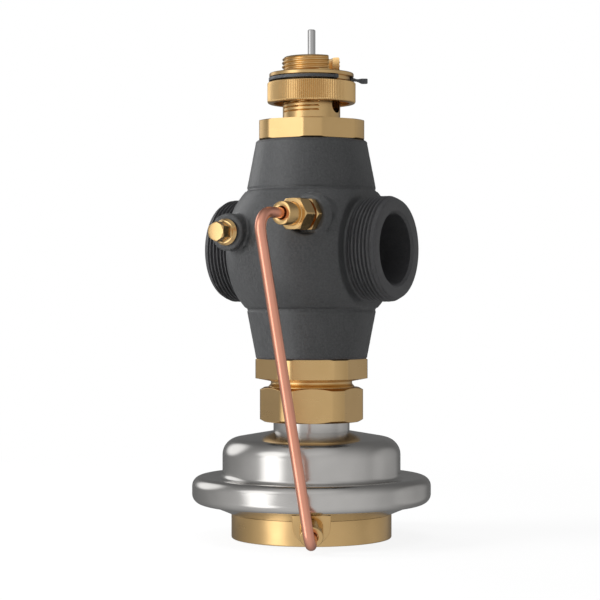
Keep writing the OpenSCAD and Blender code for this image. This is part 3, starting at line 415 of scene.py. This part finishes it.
def lofted(name, rings):
    """A solid through rings of points, closed at both ends."""
    n = len(rings[0])
    verts = [point for ring in rings for point in ring]
    faces = []
    for a in range(0, len(verts) - n, n):
        b = a + n
        faces += [(a + k, a + (k + 1) % n, b + (k + 1) % n, b + k) for k in range(n)]
    faces.append(tuple(range(n - 1, -1, -1)))
    faces.append(tuple(range(len(verts) - n, len(verts))))
    return clean(mesh_object(name, verts, faces))


def sweep(name, path, directions, section):
    """A section moved along a path, with the section's two directions at each point."""
    return lofted(name, [[tuple(p + u * a + v * b) for a, b in section]
                         for p, (u, v) in zip(path, directions)])


def ridge(phase):
    """Height of a thread, 0 at its root and 1 at its crest, for a phase from 0 to 1."""
    flank_end, flank_width, roundness = 0.83, 0.66, 0.35
    t = abs(2 * (phase % 1.0) - 1)
    h = min(1.0, max(0.0, (flank_end - t) / flank_width))
    return h * h * (3 - 2 * h) * roundness + h * (1 - roundness)


def soft_min(a, b, blend):
    h = max(blend - abs(a - b), 0.0) / blend
    return min(a, b) - h * h * blend / 4


def hexagon_reach(turn, flats, first):
    """Distance from the axis to a hexagon's side in a direction, its corners slightly cut."""
    sixth = TURN / 6
    corner_cut = 0.01 * flats
    cut_slope = 2
    a = (turn - first + sixth / 2) % sixth - sixth / 2
    corner = flats / 2 / math.cos(sixth / 2) - corner_cut
    return min(flats / 2 / math.cos(a), corner + (sixth / 2 - abs(a)) * cut_slope)


def hex_piece(name, outline, flats, first, z_low, z_high, hollow_r, steps=360, place=None,
              also=None):
    """A turned outline cut back to a hexagon between two heights, outside hollow_r."""
    blend = 0.006 * flats

    def shape(turn, r, z):
        if z_low - TINY <= z <= z_high + TINY and r > hollow_r:
            r = soft_min(r, hexagon_reach(turn, flats, first), blend)
        return also(turn, r, z) if also else (r, z)

    return turned(name, outline, steps, place, shape)


def hex_outline(turned_r, z_low, z_high, low_bevel, high_bevel, steps=14):
    """The outer side of a hexagon's turned form; a bevel is its depth and its height."""
    inset, row = 0.15, 0.8
    low_in, low_h = low_bevel
    high_in, high_h = high_bevel
    rise = [k / steps for k in range(steps + 1)]
    points = [(turned_r - low_in * (1 - t), z_low + low_h * t) for t in rise]
    points += filled(z_low + low_h + inset, z_high - high_h - inset, turned_r, row)
    points += [(turned_r - high_in * t, z_high - high_h * (1 - t)) for t in rise]
    return points


def applied(obj):
    """The object with its modifiers made part of its mesh."""
    bpy.context.view_layer.update()
    graph = bpy.context.evaluated_depsgraph_get()
    mesh = bpy.data.meshes.new_from_object(obj.evaluated_get(graph))
    obj.modifiers.clear()
    old = obj.data
    obj.data = mesh
    bpy.data.meshes.remove(old)
    return obj


def cut_away(obj, tool):
    mod = obj.modifiers.new("cut", "BOOLEAN")
    mod.operation = "DIFFERENCE"
    mod.solver = "EXACT"
    mod.object = tool
    applied(obj)
    bpy.data.objects.remove(tool)
    return clean(obj)


def bevelled(obj, width, angle, segments):
    mod = obj.modifiers.new("bevel", "BEVEL")
    mod.width = width * MM
    mod.segments = segments
    mod.limit_method = "ANGLE"
    mod.angle_limit = math.radians(angle)
    mod.harden_normals = False
    return clean(applied(obj))


def coated(obj, material):
    obj.data.materials.clear()
    obj.data.materials.append(material)
    return obj


def dress(obj, body, material, slot, *nodes):
    coated(obj, material)
    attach(obj, body)
    if nodes:
        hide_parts(*nodes)


# Places of the plug and of the two tube joints: Z points away from the body

def moved(x, y, z):
    return Matrix.Translation(Vector((x, y, z)) * MM)


TO_FRONT = Matrix.Rotation(math.pi / 2, 4, "X")
AT_PLUG = moved(-25, -52.6, PORT_Z + 9.1) @ TO_FRONT
AT_UPPER = (moved(22, -42.2, PORT_Z + 18.2) @ Matrix.Rotation(math.radians(-6), 4, "Z")
            @ TO_FRONT)
AT_LOWER = (Matrix.Rotation(JOINT_TURN, 4, "Z") @ moved(JOINT_R, 0, JOINT_Z)
            @ Matrix.Rotation(math.pi / 2 + JOINT_TILT, 4, "Y"))


# Cast body

VOXEL = 0.62
SKIN_END_X = 37.6
SEAM_END_X = 37.0
SEAM_Z = 34.3
SEAM_HALF = 1.15
SEAM_DEPTH = 0.55
INSIDE_R = 26


def cast_skin():
    """The cast body, remeshed so that its joins are rounded as a casting's are."""
    skin = copy_of("valve_body", "cast_skin")
    remesh = skin.modifiers.new("remesh", "REMESH")
    remesh.mode = "VOXEL"
    remesh.voxel_size = VOXEL * MM
    remesh.adaptivity = 0.0
    rounding = skin.modifiers.new("smooth", "SMOOTH")
    rounding.factor = 0.5
    rounding.iterations = 5
    applied(skin)
    bm = bmesh.new()
    bm.from_mesh(skin.data)
    for side in (-1, 1):
        made = bmesh.ops.bisect_plane(
            bm, geom=bm.verts[:] + bm.edges[:] + bm.faces[:],
            plane_co=(side * SKIN_END_X * MM, 0, 0), plane_no=(side, 0, 0), clear_outer=True)
        rim_edges = [e for e in made["geom_cut"] if isinstance(e, bmesh.types.BMEdge)]
        bmesh.ops.bridge_loops(bm, edges=rim_edges)
    for v in bm.verts:
        if math.hypot(v.co.x, v.co.y) > INSIDE_R * MM:
            v.co += v.normal * cast_wave(v.co) * MM
    bm.to_mesh(skin.data)
    bm.free()
    smooth(skin)
    return skin


def cast_wave(co):
    """How far the skin stands out at a point: sand grain, slow waves and the two seams."""
    wave = noise.noise(co * 420) * 0.05 + noise.noise(co * 90) * 0.06
    if abs(co.x) < SEAM_END_X * MM:
        from_seam = (abs(co.z / MM - PORT_Z) - SEAM_Z) / SEAM_HALF
        wave -= SEAM_DEPTH * max(0.0, 1 - from_seam * from_seam)
    return wave


dress(cast_skin(), "housing", IRON, "cast_iron", "valve_body")


def port(name, side):
    """Threaded port with its relief, helix, bevelled mouth and bore, along X on one side."""
    root, start, land, end = 36.9, 38.6, 51.6, 54.6
    relief_r, mouth_r = 28.25, 27.8
    bore_r, bore_bevel = BORE_R - 0.06, 1.4
    gap = 0.1
    run_in = 1.3
    bevel_slope = 2 / 3.7
    outline = [(bore_r, root), (relief_r, root), (relief_r, start - 2 * gap)]
    outline += filled(start, land, PORT_R - THREAD_DEPTH, PITCH_STEP)
    outline += filled(land + 0.15, end, PORT_R - THREAD_DEPTH, PITCH_STEP)
    outline += round_corners(
        [(mouth_r, end + gap), (mouth_r, PORT_FACE_X), (BORE_R + bore_bevel, PORT_FACE_X),
         (bore_r, PORT_FACE_X - bore_bevel)], 0.25, 3, False)

    def shape(turn, r, z):
        if r > mouth_r + gap and start - gap < z < end + gap / 2:
            height = ridge(z / PITCH - side * turn / TURN)
            r += THREAD_DEPTH * height * max(0.0, min(1.0, (z - start) / run_in))
            r = soft_min(r, mouth_r + (PORT_FACE_X - z) * bevel_slope + gap / 2, 0.2)
        return r, z

    place = moved(0, 0, PORT_Z) @ Matrix.Rotation(side * math.pi / 2, 4, "Y")
    return turned(name, outline, 240, place, shape)


dress(port("inlet_port", -1), "housing", IRON_CUT, "cast_iron")
dress(port("outlet_port", 1), "housing", IRON_CUT, "cast_iron")


def rim(name, z_face, inward):
    """Machined rim where a bonnet meets the casting, with its edge bevelled."""
    z_back = z_face + 1.5 * inward
    outline = [(INSIDE_R, z_face), (31.3, z_face), (32.05, z_face + 0.75 * inward),
               (32.2, z_back), (INSIDE_R, z_back)]
    return turned(name, round_corners(outline, 0.2))


dress(rim("upper_rim", BODY_TOP_Z, -1), "housing", IRON_CUT, "cast_iron")
dress(rim("lower_rim", BODY_LOW_Z, 1), "housing", IRON_CUT, "cast_iron")


# Upper bonnet

TOP_THREAD_Z = 268.2
TOP_THREAD_R = 17.0
TOP_THREAD_DEPTH = 1.0
PLAIN_R = 16.1
PLAIN_FROM, PLAIN_TO = -math.radians(24), math.radians(44)
GROOVE_Z = 243.6
GROOVE_ACROSS = 11.7
GROOVE_DEPTH = 0.75
GROOVE_PHASE = 0.65
GROOVE_WIDTH = 0.36
SLOT_HALF = 4.5
SLOT_Z = 243.4
WIDE_SLOT_HALF = 6.3
WIDE_SLOT_Z = 267.6


def neck_shape(turn, r, z):
    """Thread of the neck: grooves that stop short of the slots, and crests at the top."""
    if r < 14:
        return r, z
    if z > TOP_THREAD_Z:
        beside = PLAIN_FROM < (turn + math.pi) % TURN - math.pi < PLAIN_TO
        height = ridge(z / PITCH - turn / TURN)
        r = PLAIN_R if beside else TOP_THREAD_R - TOP_THREAD_DEPTH * (1 - height)
        return soft_min(r, 15.5 + (NECK_TOP_Z - z) * 1.05, 0.25), z
    across = abs(math.sin(turn)) * NECK_R
    if z > GROOVE_Z and across > GROOVE_ACROSS:
        grow = min(1.0, (z - GROOVE_Z) / 0.5) * min(1.0, (across - GROOVE_ACROSS) / 0.6)
        phase = (z / PITCH - turn / TURN - GROOVE_PHASE) % 1.0
        groove = max(0.0, 1 - abs(2 * phase - 1) / GROOVE_WIDTH)
        return r - GROOVE_DEPTH * groove * grow, z
    return r, z


def slot_tool():
    """The slot through the neck: round at its foot and wider at its top."""
    slot = arc(0, SLOT_Z + SLOT_HALF, SLOT_HALF, 180, 360, 24)
    slot += [(SLOT_HALF, WIDE_SLOT_Z), (WIDE_SLOT_HALF, WIDE_SLOT_Z),
             (WIDE_SLOT_HALF, NECK_TOP_Z + 4), (-WIDE_SLOT_HALF, NECK_TOP_Z + 4),
             (-WIDE_SLOT_HALF, WIDE_SLOT_Z), (-SLOT_HALF, WIDE_SLOT_Z)]
    return lofted("slot_tool", [[(x, y, z) for y, z in slot] for x in (-40, 40)])


def upper_bonnet():
    foot_z, hex_z = 226.0, 228.0
    bore_r, spigot_r, cavity_r = 4.4, 25.4, 12.15
    outline = [(bore_r, foot_z), (spigot_r, foot_z), (spigot_r, hex_z - 0.05)]
    outline += hex_outline(32.1, hex_z, HEX_TOP_Z, HEX_BEVEL, HEX_BEVEL)
    outline += [(17.3, HEX_TOP_Z), (16.75, HEX_TOP_Z + 0.15), (NECK_R, HEX_TOP_Z + 0.6)]
    outline += filled(HEX_TOP_Z + 1.0, NECK_TOP_Z - 0.1, NECK_R, PITCH_STEP)
    outline += [(15.4, NECK_TOP_Z), (12.5, NECK_TOP_Z), (cavity_r, NECK_TOP_Z - 0.35),
                (cavity_r, 241.2), (bore_r, 241.0)]

    def also(turn, r, z):
        return neck_shape(turn, r, z) if z > HEX_TOP_Z + 0.8 else (r, z)

    made = hex_piece("upper_bonnet_brass", outline, BONNET_FLATS, math.pi / 6, hex_z - 0.01,
                     HEX_TOP_Z, INSIDE_R, also=also)
    return cut_away(made, slot_tool())


dress(upper_bonnet(), "housing", BRASS, "brass", "upper_bonnet")


# Setting ring and clip

def setting_ring():
    teeth, steps_a_tooth = 140, 7
    knurl_r, knurl_depth = 25.4, 0.5
    z0 = RING_Z
    top_z = 266.7
    outline = [(17.3, z0 + 6.0), (21.6, z0 + 6.0), (21.9, z0 + 5.7), (21.9, z0 + 0.3),
               (22.3, z0), (24.3, z0), (24.9, z0 + 0.25), (25.3, z0 + 0.8),
               (knurl_r, z0 + 1.2)]
    outline += filled(z0 + 1.3, 260.8, knurl_r, 1.1)
    outline += [(25.35, 260.95), (25.2, 261.1), (23.5, 262.05), (23.2, 262.1), (22.3, 262.1),
                (22.2, 262.2), (22.2, 264.4), (22.3, 264.5), (24.1, 264.5), (24.3, 264.7),
                (24.3, 266.3), (23.9, top_z), (17.6, top_z), (17.3, 266.4)]

    def shape(turn, r, z):
        if r > 24.95 and z < 261.05:
            phase = turn * teeth / TURN % 1.0
            groove = max(0.0, 1 - abs(2 * phase - 1) * 1.4)
            edge = min(1.0, (z - z0 - 0.2) / 0.7, (261.2 - z) / 0.4)
            r -= knurl_depth * groove * max(0.0, edge)
        return r, z

    return turned("setting_ring_brass", outline, teeth * steps_a_tooth, None, shape)


dress(setting_ring(), "ring", BRASS, "brass", "setting_ring")

CLIP_START, CLIP_END = math.radians(32), math.radians(337)
CLIP_R = 23.5
CLIP_LOW_Z, CLIP_HIGH_Z = 262.3, 264.1


def outwards(turn):
    return Vector((math.cos(turn), math.sin(turn), 0))


def bent(name, r, turns, section):
    """A section bent round the axis at the clip's height."""
    mid_z = (CLIP_LOW_Z + CLIP_HIGH_Z) / 2
    return sweep(name, [outwards(a) * r + UP * mid_z for a in turns],
                 [(outwards(a), UP) for a in turns], section)


def clip_band():
    """Flat C-shaped band that lies in the ring's groove."""
    half, tall = 1.12, (CLIP_HIGH_Z - CLIP_LOW_Z) / 2
    last = 149
    turns = [CLIP_START + (CLIP_END - CLIP_START) * k / last for k in range(last + 1)]
    return bent("clip_band", CLIP_R, turns,
                round_corners(box_outline(-half, half, -tall, tall), 0.25))


def clip_fold():
    """The band's folded end."""
    length, past_end = math.radians(5.5), math.radians(0.3)
    turns = [CLIP_END - length * (1 - k / 8) + past_end for k in range(9)]
    return bent("clip_fold", CLIP_R + 0.12, turns,
                round_corners(box_outline(-1.25, 1.35, -1.12, 1.12), 0.35))


def clip_lug():
    """The lug at the other end, from radius to radius: half width, half height, middle."""
    stations = [(22.6, 0.9, 0.95, 263.3), (24.4, 0.95, 0.95, 263.3), (25.8, 0.9, 0.7, 263.0),
                (27.0, 1.0, 0.85, 262.8), (28.2, 1.2, 1.25, 262.6), (29.0, 1.35, 1.45, 262.5),
                (31.8, 1.35, 1.45, 262.5), (32.3, 1.15, 1.25, 262.5)]
    aside = 0.35
    out = outwards(CLIP_START)
    side = Vector((out.y, -out.x, 0))
    return lofted("clip_lug", [
        [tuple(out * r + side * (a + aside) + UP * (z + b))
         for a, b in round_corners(box_outline(-wide, wide, -tall, tall), 0.3)]
        for r, wide, tall, z in stations])


dress(clip_band(), "ring", PLASTIC, "black_plastic", "lock_clip")
dress(clip_fold(), "ring", PLASTIC, "black_plastic")
dress(clip_lug(), "ring", PLASTIC, "black_plastic")


# Stem

stem = round_corners([(0, 176.3), (2.25, 176.3), (2.25, 291.5), (1.75, 292), (0, 292)],
                     [0, 0, 0.3, 0.3, 0])
dress(turned("stem_rod", stem, 64), "stem", STEEL_ROD, "stainless_steel", "control_stem")


# Lower bonnet, union nut and steel neck

def lower_bonnet():
    hex_z = 91.5
    outline = [(16, 80), (24.1, 80), (24.1, 86.6), (24.8, 86.7), (24.5, 87.3), (23.9, 87.8),
               (23.4, 88.6), (23.4, 89.6), (23.6, 89.95), (24.4, 90.05), (31.9, 91.45)]
    outline += hex_outline(32.3, hex_z, BODY_LOW_Z, (0.05, 0.05), HEX_BEVEL)
    outline += [(25.4, 102.75), (25.4, 105), (16, 105)]
    return hex_piece("lower_bonnet_brass", outline, BONNET_FLATS, 0.0, hex_z - 0.06,
                     BODY_LOW_Z, INSIDE_R)


dress(lower_bonnet(), "housing", BRASS, "brass", "lower_bonnet")


def union_nut():
    low_z, high_z, flats = 66.7, 86.3, 55
    bevel = (2.3, 1.3)
    outline = [(22.3, 67.0), (22.6, low_z + 0.02)]
    outline += hex_outline(29.7, low_z, high_z, bevel, bevel, 20)
    outline += [(24.7, high_z), (24.35, 86.0), (24.3, 70.2), (22.3, 70.0)]
    return hex_piece("union_nut_brass", outline, flats, 0.0, low_z - 0.01, high_z + 0.01, 25)


dress(union_nut(), "housing", BRASS, "brass", "union_nut")

neck = [(17, 57.2), (21.9, 57.2), (21.9, 70.1), (23.8, 70.1), (23.8, 73.1), (17, 73.1)]
dress(turned("neck_sleeve", round_corners(neck, 0.3)), "housing", STEEL, "pressed_steel",
      "steel_neck")


# Housing shells

def dome_skin(inset):
    """The dome and its rolled band from the neck to the band's foot, moved in by inset."""
    slope = math.radians(DOME_SLOPE)
    neck_r, wall_r = 21.9, 51.2
    shoulder, foot, roll = 10, 3, 5.5
    roll_r = 63.1
    shoulder_r = wall_r - shoulder
    shoulder_z = DOME_TOP_Z - (shoulder_r - neck_r) * math.tan(slope) - shoulder
    points = [(neck_r + 0.05, DOME_TOP_Z - inset / math.cos(slope))]
    points += arc(shoulder_r, shoulder_z, shoulder - inset, 90 - DOME_SLOPE, 0)
    points += arc(wall_r + foot, 37.5, foot + inset, 180, 270)
    points += [(57.5, 34.85 - inset)]
    points += arc(roll_r, 29.9, roll - inset, 90, 0)
    points += arc(roll_r, 25.4, roll - inset, 0, -90)
    points += [(60.6, 19.95 + inset)]
    return points


dome = dome_skin(0) + [(60.2, 20.6), (60.2, 21.4)] + dome_skin(SHEET)[::-1]
dress(turned("dome", dome, 320), "housing", STEEL, "pressed_steel", "upper_shell")

cone = [(12, 14.0), (45.9, 14.0), (46.3, 14.12), (50, 15.7), (55, 17.75), (58.5, 19.35),
        (60.1, 20.2), (60.1, 22.0), (63.1, 22.05), (63.1, 24.05), (58, 24.05), (58, 21.3),
        (50, 17.9), (45.2, 16.0), (12, 16.0)]
dress(turned("lower_cone", cone, 320), "housing", STEEL, "pressed_steel", "lower_shell")


# Base, its pad and the lower tube joint

base = round_corners([(0, 0), (24, 0), (24, 3), (36, 3), (36, 0), (BASE_R, 0),
                      (BASE_R, BASE_TOP_Z), (44.6, BASE_TOP_Z), (0, BASE_TOP_Z)],
                     [0, 0.3, 0, 0, 0.3, 0.9, 0.12, 0, 0])
dress(turned("base_brass", base, 320), "housing", BRASS, "brass", "base_ring")


def base_pad():
    """The pad's D-shaped block, cut by the shell above it and by its tilted face."""
    back_r, round_r, round_z, high_z = 42.0, 10.4, 11.8, 19.6
    cone_r, cone_z, cone_rise = 45.6, 13.75, 0.412
    tilt = math.tan(JOINT_TILT)
    outline = [(-10.7, high_z)] + arc(0, round_z, round_r, 180, 360, 30) + [(10.7, high_z)]
    n = len(outline)
    verts = [(back_r, y, z) for y, z in outline]
    verts += [(JOINT_R + (z - JOINT_Z) * tilt, y, z) for y, z in outline]
    faces = [tuple(range(n)), tuple(range(2 * n - 1, n - 1, -1))]
    faces += [(k, k + n, (k + 1) % n + n, (k + 1) % n) for k in range(n)]
    made = clean(mesh_object("base_pad", verts, faces, Matrix.Rotation(JOINT_TURN, 4, "Z")))
    for v in made.data.vertices:
        r = math.hypot(v.co.x, v.co.y) / MM
        v.co.z = min(v.co.z, (cone_z + max(0.0, r - cone_r) * cone_rise) * MM)
    return bevelled(made, 0.4, 40, 2)


dress(base_pad(), "housing", BRASS_FLAT, "brass")

stud = round_corners([(2.0, -2), (4.8, -2), (4.8, 5.7), (4.3, 6.0), (3.1, 6.0), (3.1, 1.6),
                      (2.0, 1.5)], 0.15)
dress(turned("base_stud", stud, 96, AT_LOWER), "housing", BRASS_SIDE, "brass")

NOSE_TOP = 11.5
nose = round_corners([(3.6, 9.4), (4.95, 9.3), (4.95, 0.1), (6.5, 0.1), (6.5, NOSE_TOP),
                      (3.6, NOSE_TOP)], [0, 0, 0.2, 0.3, 0.8, 0.5], 5)
dress(turned("lower_nut", nose, 128, AT_LOWER), "housing", BRASS_SIDE, "brass",
      "lower_fitting_nut")


# Upper fitting

FITTING_FLATS = 17
FITTING_R = 9.605
FITTING_BEVEL = (0.9, 0.7)
FITTING_TOP = 26.1


def fitting_hex(z_low, z_high):
    return hex_outline(FITTING_R, z_low, z_high, FITTING_BEVEL, FITTING_BEVEL, 10)


def fitting_body():
    thread_r, thread_depth, thread_pitch = 6.3, 0.55, 1.25
    outline = [(2.0, -7.9), (4.9, -7.9), (4.9, 0.1)] + fitting_hex(0.1, 4.8) + [(6.2, 4.8)]
    outline += filled(4.95, 13.4, thread_r, 0.09)
    outline += [(5.9, 13.8), (3.1, 13.8), (3.1, 6.8), (2.0, 6.8)]

    def also(turn, r, z):
        if 4.9 < z < 13.6 and r > 6.1:
            r = thread_r - thread_depth * (1 - ridge(z / thread_pitch - turn / TURN))
        return r, z

    return hex_piece("fitting_body", outline, FITTING_FLATS, math.pi / 6, 0.09, 4.81, 6.5, 240,
                     AT_UPPER, also)


dress(fitting_body(), "housing", BRASS_SIDE, "brass", "upper_fitting_body")


def fitting_nut():
    outline = [(6.4, 6.9)] + fitting_hex(6.8, 15.8)
    outline += [(6.75, 15.9), (6.5, 16.2), (6.5, 25.3), (6.3, 25.85), (5.8, FITTING_TOP),
                (4.2, FITTING_TOP), (3.75, 25.9), (3.6, 25.5), (3.6, 17.2), (6.4, 17.1)]
    return hex_piece("fitting_nut", outline, FITTING_FLATS, math.pi / 6, 6.79, 15.81, 6.9, 240,
                     AT_UPPER)


dress(fitting_nut(), "housing", BRASS_SIDE, "brass", "upper_fitting_nut")


# Test plug and its washer

def test_plug():
    outline = [(0, -7.9), (4.9, -7.9), (4.9, 0.9), (7.2, 0.9), (7.5, 1.2), (7.5, 3.9),
               (7.2, 4.25), (6.8, 4.3), (6.6, 4.1), (6.5, 3.3), (6.3, 3.15), (5.7, 3.15)]
    outline += filled(3.3, 10.6, 5.6, 0.5)
    outline += [(5.4, 10.95), (4.9, 11.25), (4.2, 11.35), (0, 11.4)]
    return hex_piece("plug_brass", outline, 10, 0.0, 3.25, 11.1, 2.0, 192, AT_PLUG)


dress(test_plug(), "housing", BRASS_SIDE, "brass", "test_plug")

washer = round_corners(box_outline(5.0, 7.0, 0.05, 0.85), 0.3)
dress(turned("washer_rubber", washer, 96, AT_PLUG), "housing", RUBBER, "rubber", "plug_washer")


# Impulse tube

def tube_route():
    """The tube's middle line: three straight runs and two round bends."""
    upper_run, lower_run = 21, 18.6
    upper_bend_r, lower_bend_r = 10.0, 9.0
    bend_steps = 24

    def up_joint(place, height):
        return place @ Vector((0, 0, height * MM)) / MM

    p0 = up_joint(AT_UPPER, 7.4)
    p1 = up_joint(AT_UPPER, FITTING_TOP + upper_run)
    p2 = up_joint(AT_LOWER, NOSE_TOP + lower_run)
    p3 = up_joint(AT_LOWER, 1.5)
    points = [p0]
    for before, corner, after, r in ((p0, p1, p2, upper_bend_r), (p1, p2, p3, lower_bend_r)):
        a = (before - corner).normalized()
        b = (after - corner).normalized()
        half = a.angle(b) / 2
        skip = r / math.tan(half)
        centre = corner + (a + b).normalized() * (r / math.sin(half))
        start = corner + a * skip - centre
        end = corner + b * skip - centre
        swing = start.angle(end)
        for k in range(bend_steps + 1):
            t = k / bend_steps
            arm = start * math.sin((1 - t) * swing) + end * math.sin(t * swing)
            points.append(centre + arm / math.sin(swing))
    points.append(p3)
    return points


def impulse_tube():
    longest_step, sides = 4, 40
    corners = tube_route()
    route = [corners[0]]
    for here in corners[1:]:
        last = route[-1]
        steps = max(1, int((here - last).length / longest_step))
        route += [last.lerp(here, k / steps) for k in range(1, steps + 1)]
    directions = []
    side = Vector((1, 0, 0))
    for i in range(len(route)):
        ahead = route[min(i + 1, len(route) - 1)] - route[max(i - 1, 0)]
        ahead.normalize()
        side = (side - ahead * side.dot(ahead)).normalized()
        directions.append((side.copy(), ahead.cross(side)))
    ring = [(TUBE_R * math.cos(TURN * k / sides), TUBE_R * math.sin(TURN * k / sides))
            for k in range(sides)]
    return sweep("copper_tube", route, directions, ring)


dress(impulse_tube(), "housing", COPPER, "copper", "impulse_tube")


# Inside pieces: the diaphragm and the regulator's spring

def diaphragm_outline(roll_in, roll_out):
    """Half the diaphragm's section: flat, with one rolled fold between two radii."""
    low_z, thick, bow = 24.15, 1.8, 4.5
    rim_r, hole_r = 63.1, 4.1
    steps = 16
    half = (roll_out - roll_in) / 2
    bow_r = (half * half + bow * bow) / (2 * bow)
    low = [(hole_r, low_z)]
    for k in range(steps + 1):
        across = -half + 2 * half * k / steps
        rise = math.sqrt(bow_r * bow_r - across * across) - (bow_r - bow)
        low.append(((roll_in + roll_out) / 2 + across, low_z + rise))
    low.append((rim_r, low_z))
    return low + [(r, z + thick) for r, z in reversed(low)]


def diaphragm():
    """The diaphragm in sectors, each a rubber loft of the section with its rolled fold."""
    roll_in, roll_out = 41.5, 56.5
    sectors, steps = 16, 6
    outline = diaphragm_outline(roll_in, roll_out)
    for i in range(sectors):
        rings = []
        for k in range(steps + 1):
            turn = TURN * (i + k / steps) / sectors
            rings.append([(r * math.cos(turn), r * math.sin(turn), z) for r, z in outline])
        sector = coated(lofted("diaphragm_%02d" % (i + 1), rings), RUBBER)
        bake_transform(sector)
        if i == 0:
            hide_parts("diaphragm")


diaphragm()


def regulator_spring():
    """The regulator's spring: a cleaned copy of the CAD spring in spring steel, shown in its
    place.
    """
    coil = coated(clean(copy_of("regulator_spring", "spring_coil")), SPRING)
    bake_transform(coil)
    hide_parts("regulator_spring")


regulator_spring()

for name, obj in frame["nodes"].items():
    coated(obj, FINISH[SLOT_OF[name]])


# Floor, from here on in metres

FLOOR_HALF = 3.0
FLOOR_DROP = 0.0004
SHADOW_NEAR, SHADOW_FAR = 0.12, 0.6


def floor():
    """White floor that keeps the shadow near the part and lets reflections see the world."""
    s = FLOOR_HALF
    mesh = bpy.data.meshes.new("floor")
    mesh.from_pydata([(-s, -s, 0), (s, -s, 0), (s, s, 0), (-s, s, 0)], [], [(0, 1, 2, 3)])
    made = linked(bpy.data.objects.new("floor", mesh))
    made.location.z = -FLOOR_DROP
    mat = bpy.data.materials.new("floor")
    t = Tree(mat)
    bsdf = t.tree.nodes["Principled BSDF"]
    bsdf.inputs["Base Color"].default_value = (0.82, 0.82, 0.82, 1)
    bsdf.inputs["Roughness"].default_value = 0.9
    light = t.node("ShaderNodeEmission")
    light.inputs["Color"].default_value = (1, 1, 1, 1)
    light.inputs["Strength"].default_value = 1.0
    path = t.node("ShaderNodeLightPath")
    away = t.node("ShaderNodeVectorMath", operation="LENGTH")
    t.link(t.node("ShaderNodeTexCoord").outputs["Object"], away.inputs[0])
    far = t.span(away.outputs["Value"], SHADOW_NEAR, SHADOW_FAR, 0.88, 1.0, "SMOOTHSTEP")
    seen = t.math("MULTIPLY", far, path.outputs["Is Camera Ray"])
    shown = t.mixed(seen, bsdf.outputs[0], light.outputs[0])
    clear = t.node("ShaderNodeBsdfTransparent").outputs[0]
    t.link(t.mixed(path.outputs["Is Glossy Ray"], shown, clear),
           t.tree.nodes["Material Output"].inputs["Surface"])
    made.data.materials.append(mat)


floor()


# World, lamps and camera

SCREEN_RIGHT = Vector((math.cos(VIEW_TURN), math.sin(VIEW_TURN), 0))
TO_CAMERA = Vector((math.sin(VIEW_TURN), -math.cos(VIEW_TURN), 0))


def seen_from_camera(right, near, up):
    return SCREEN_RIGHT * right + TO_CAMERA * near + UP * up


# What polished metal shows: a room that is brighter towards the camera, with soft panels in
# it, each given by its direction (right, near, up), half width in degrees and strength
ROOM = (-0.15, 0.95, -0.35)
ROOM_DARK, ROOM_BRIGHT = 0.16, 0.70
PANELS = (
    (-0.79, 0.62, -0.45, 20, 1.30),
    (-0.79, 0.62, 0.05, 20, 1.30),
    (-0.74, 0.48, 0.52, 22, 1.10),
    (-0.70, -0.60, 0.35, 24, 1.10),
    (-0.15, 0.45, 0.85, 40, 0.15),
    (0.90, -0.42, 0.00, 36, 0.20),
)
AMBIENT = 0.36


def world():
    made = bpy.data.worlds.new("studio")
    bpy.context.scene.world = made
    t = Tree(made)
    t.tree.nodes.clear()
    coords = t.node("ShaderNodeTexCoord")

    def towards(way, start, end, low, high):
        """A level that changes with the angle between a ray and a direction."""
        dot = t.node("ShaderNodeVectorMath", operation="DOT_PRODUCT")
        dot.inputs[1].default_value = way.normalized()
        t.link(coords.outputs["Generated"], dot.inputs[0])
        return t.span(dot.outputs["Value"], start, end, low, high, "SMOOTHSTEP")

    def background(strength):
        made = t.node("ShaderNodeBackground")
        made.inputs["Strength"].default_value = strength
        made.inputs["Color"].default_value = (1, 1, 1, 1)
        return made

    level = towards(seen_from_camera(*ROOM), -1.0, 1.0, ROOM_DARK, ROOM_BRIGHT)
    for right, near, up, half, strength in PANELS:
        panel = towards(seen_from_camera(right, near, up), math.cos(math.radians(half)),
                        math.cos(math.radians(half / 2)), 0.0, strength)
        level = t.math("ADD", level, panel)
    shine = background(1.0)
    t.link(level, shine.inputs["Strength"])
    path = t.node("ShaderNodeLightPath")
    gloss = t.mixed(path.outputs["Is Glossy Ray"], background(AMBIENT).outputs[0],
                    shine.outputs[0])
    seen = t.math("MAXIMUM", path.outputs["Is Camera Ray"],
                  path.outputs["Is Transmission Ray"])
    out = t.node("ShaderNodeOutputWorld")
    t.link(t.mixed(seen, gloss, background(1.0).outputs[0]), out.inputs["Surface"])


world()

AIM = Vector((0, 0, 0.15))
# Name, place (right, near, up), size and power
LAMPS = (
    ("key", (-1.0, 0.20, 0.50), (0.4, 0.9), 19.0),
    ("fill", (0.5, 1.0, 0.5), (0.6, 0.9), 1.5),
    ("top", (0.0, 0.2, 1.1), (0.8, 0.8), 5.0),
    ("back", (-0.5, -0.8, 0.6), (0.5, 0.9), 4.0),
)
for name, place, size, power in LAMPS:
    light = bpy.data.lights.new(name, "AREA")
    light.shape = "RECTANGLE"
    light.size, light.size_y = size
    light.energy = power
    lamp = linked(bpy.data.objects.new(name, light))
    lamp.location = seen_from_camera(*place)
    lamp.rotation_euler = (AIM - lamp.location).to_track_quat("-Z", "Y").to_euler()
    lamp.visible_glossy = False

IMAGE_PX = 600
camera_data = bpy.data.cameras.new("camera")
camera_data.sensor_width = 36
camera_data.lens = 113.0
camera_data.shift_x = -11.5 / IMAGE_PX
camera_data.shift_y = 2.0 / IMAGE_PX
camera = linked(bpy.data.objects.new("camera", camera_data))
camera.location = seen_from_camera(0, 1.0846, 0.13527)
camera.rotation_euler = (math.pi / 2, 0, VIEW_TURN)
bpy.context.scene.camera = camera
bpy.context.scene.view_settings.view_transform = "Standard"

bpy.context.view_layer.update()
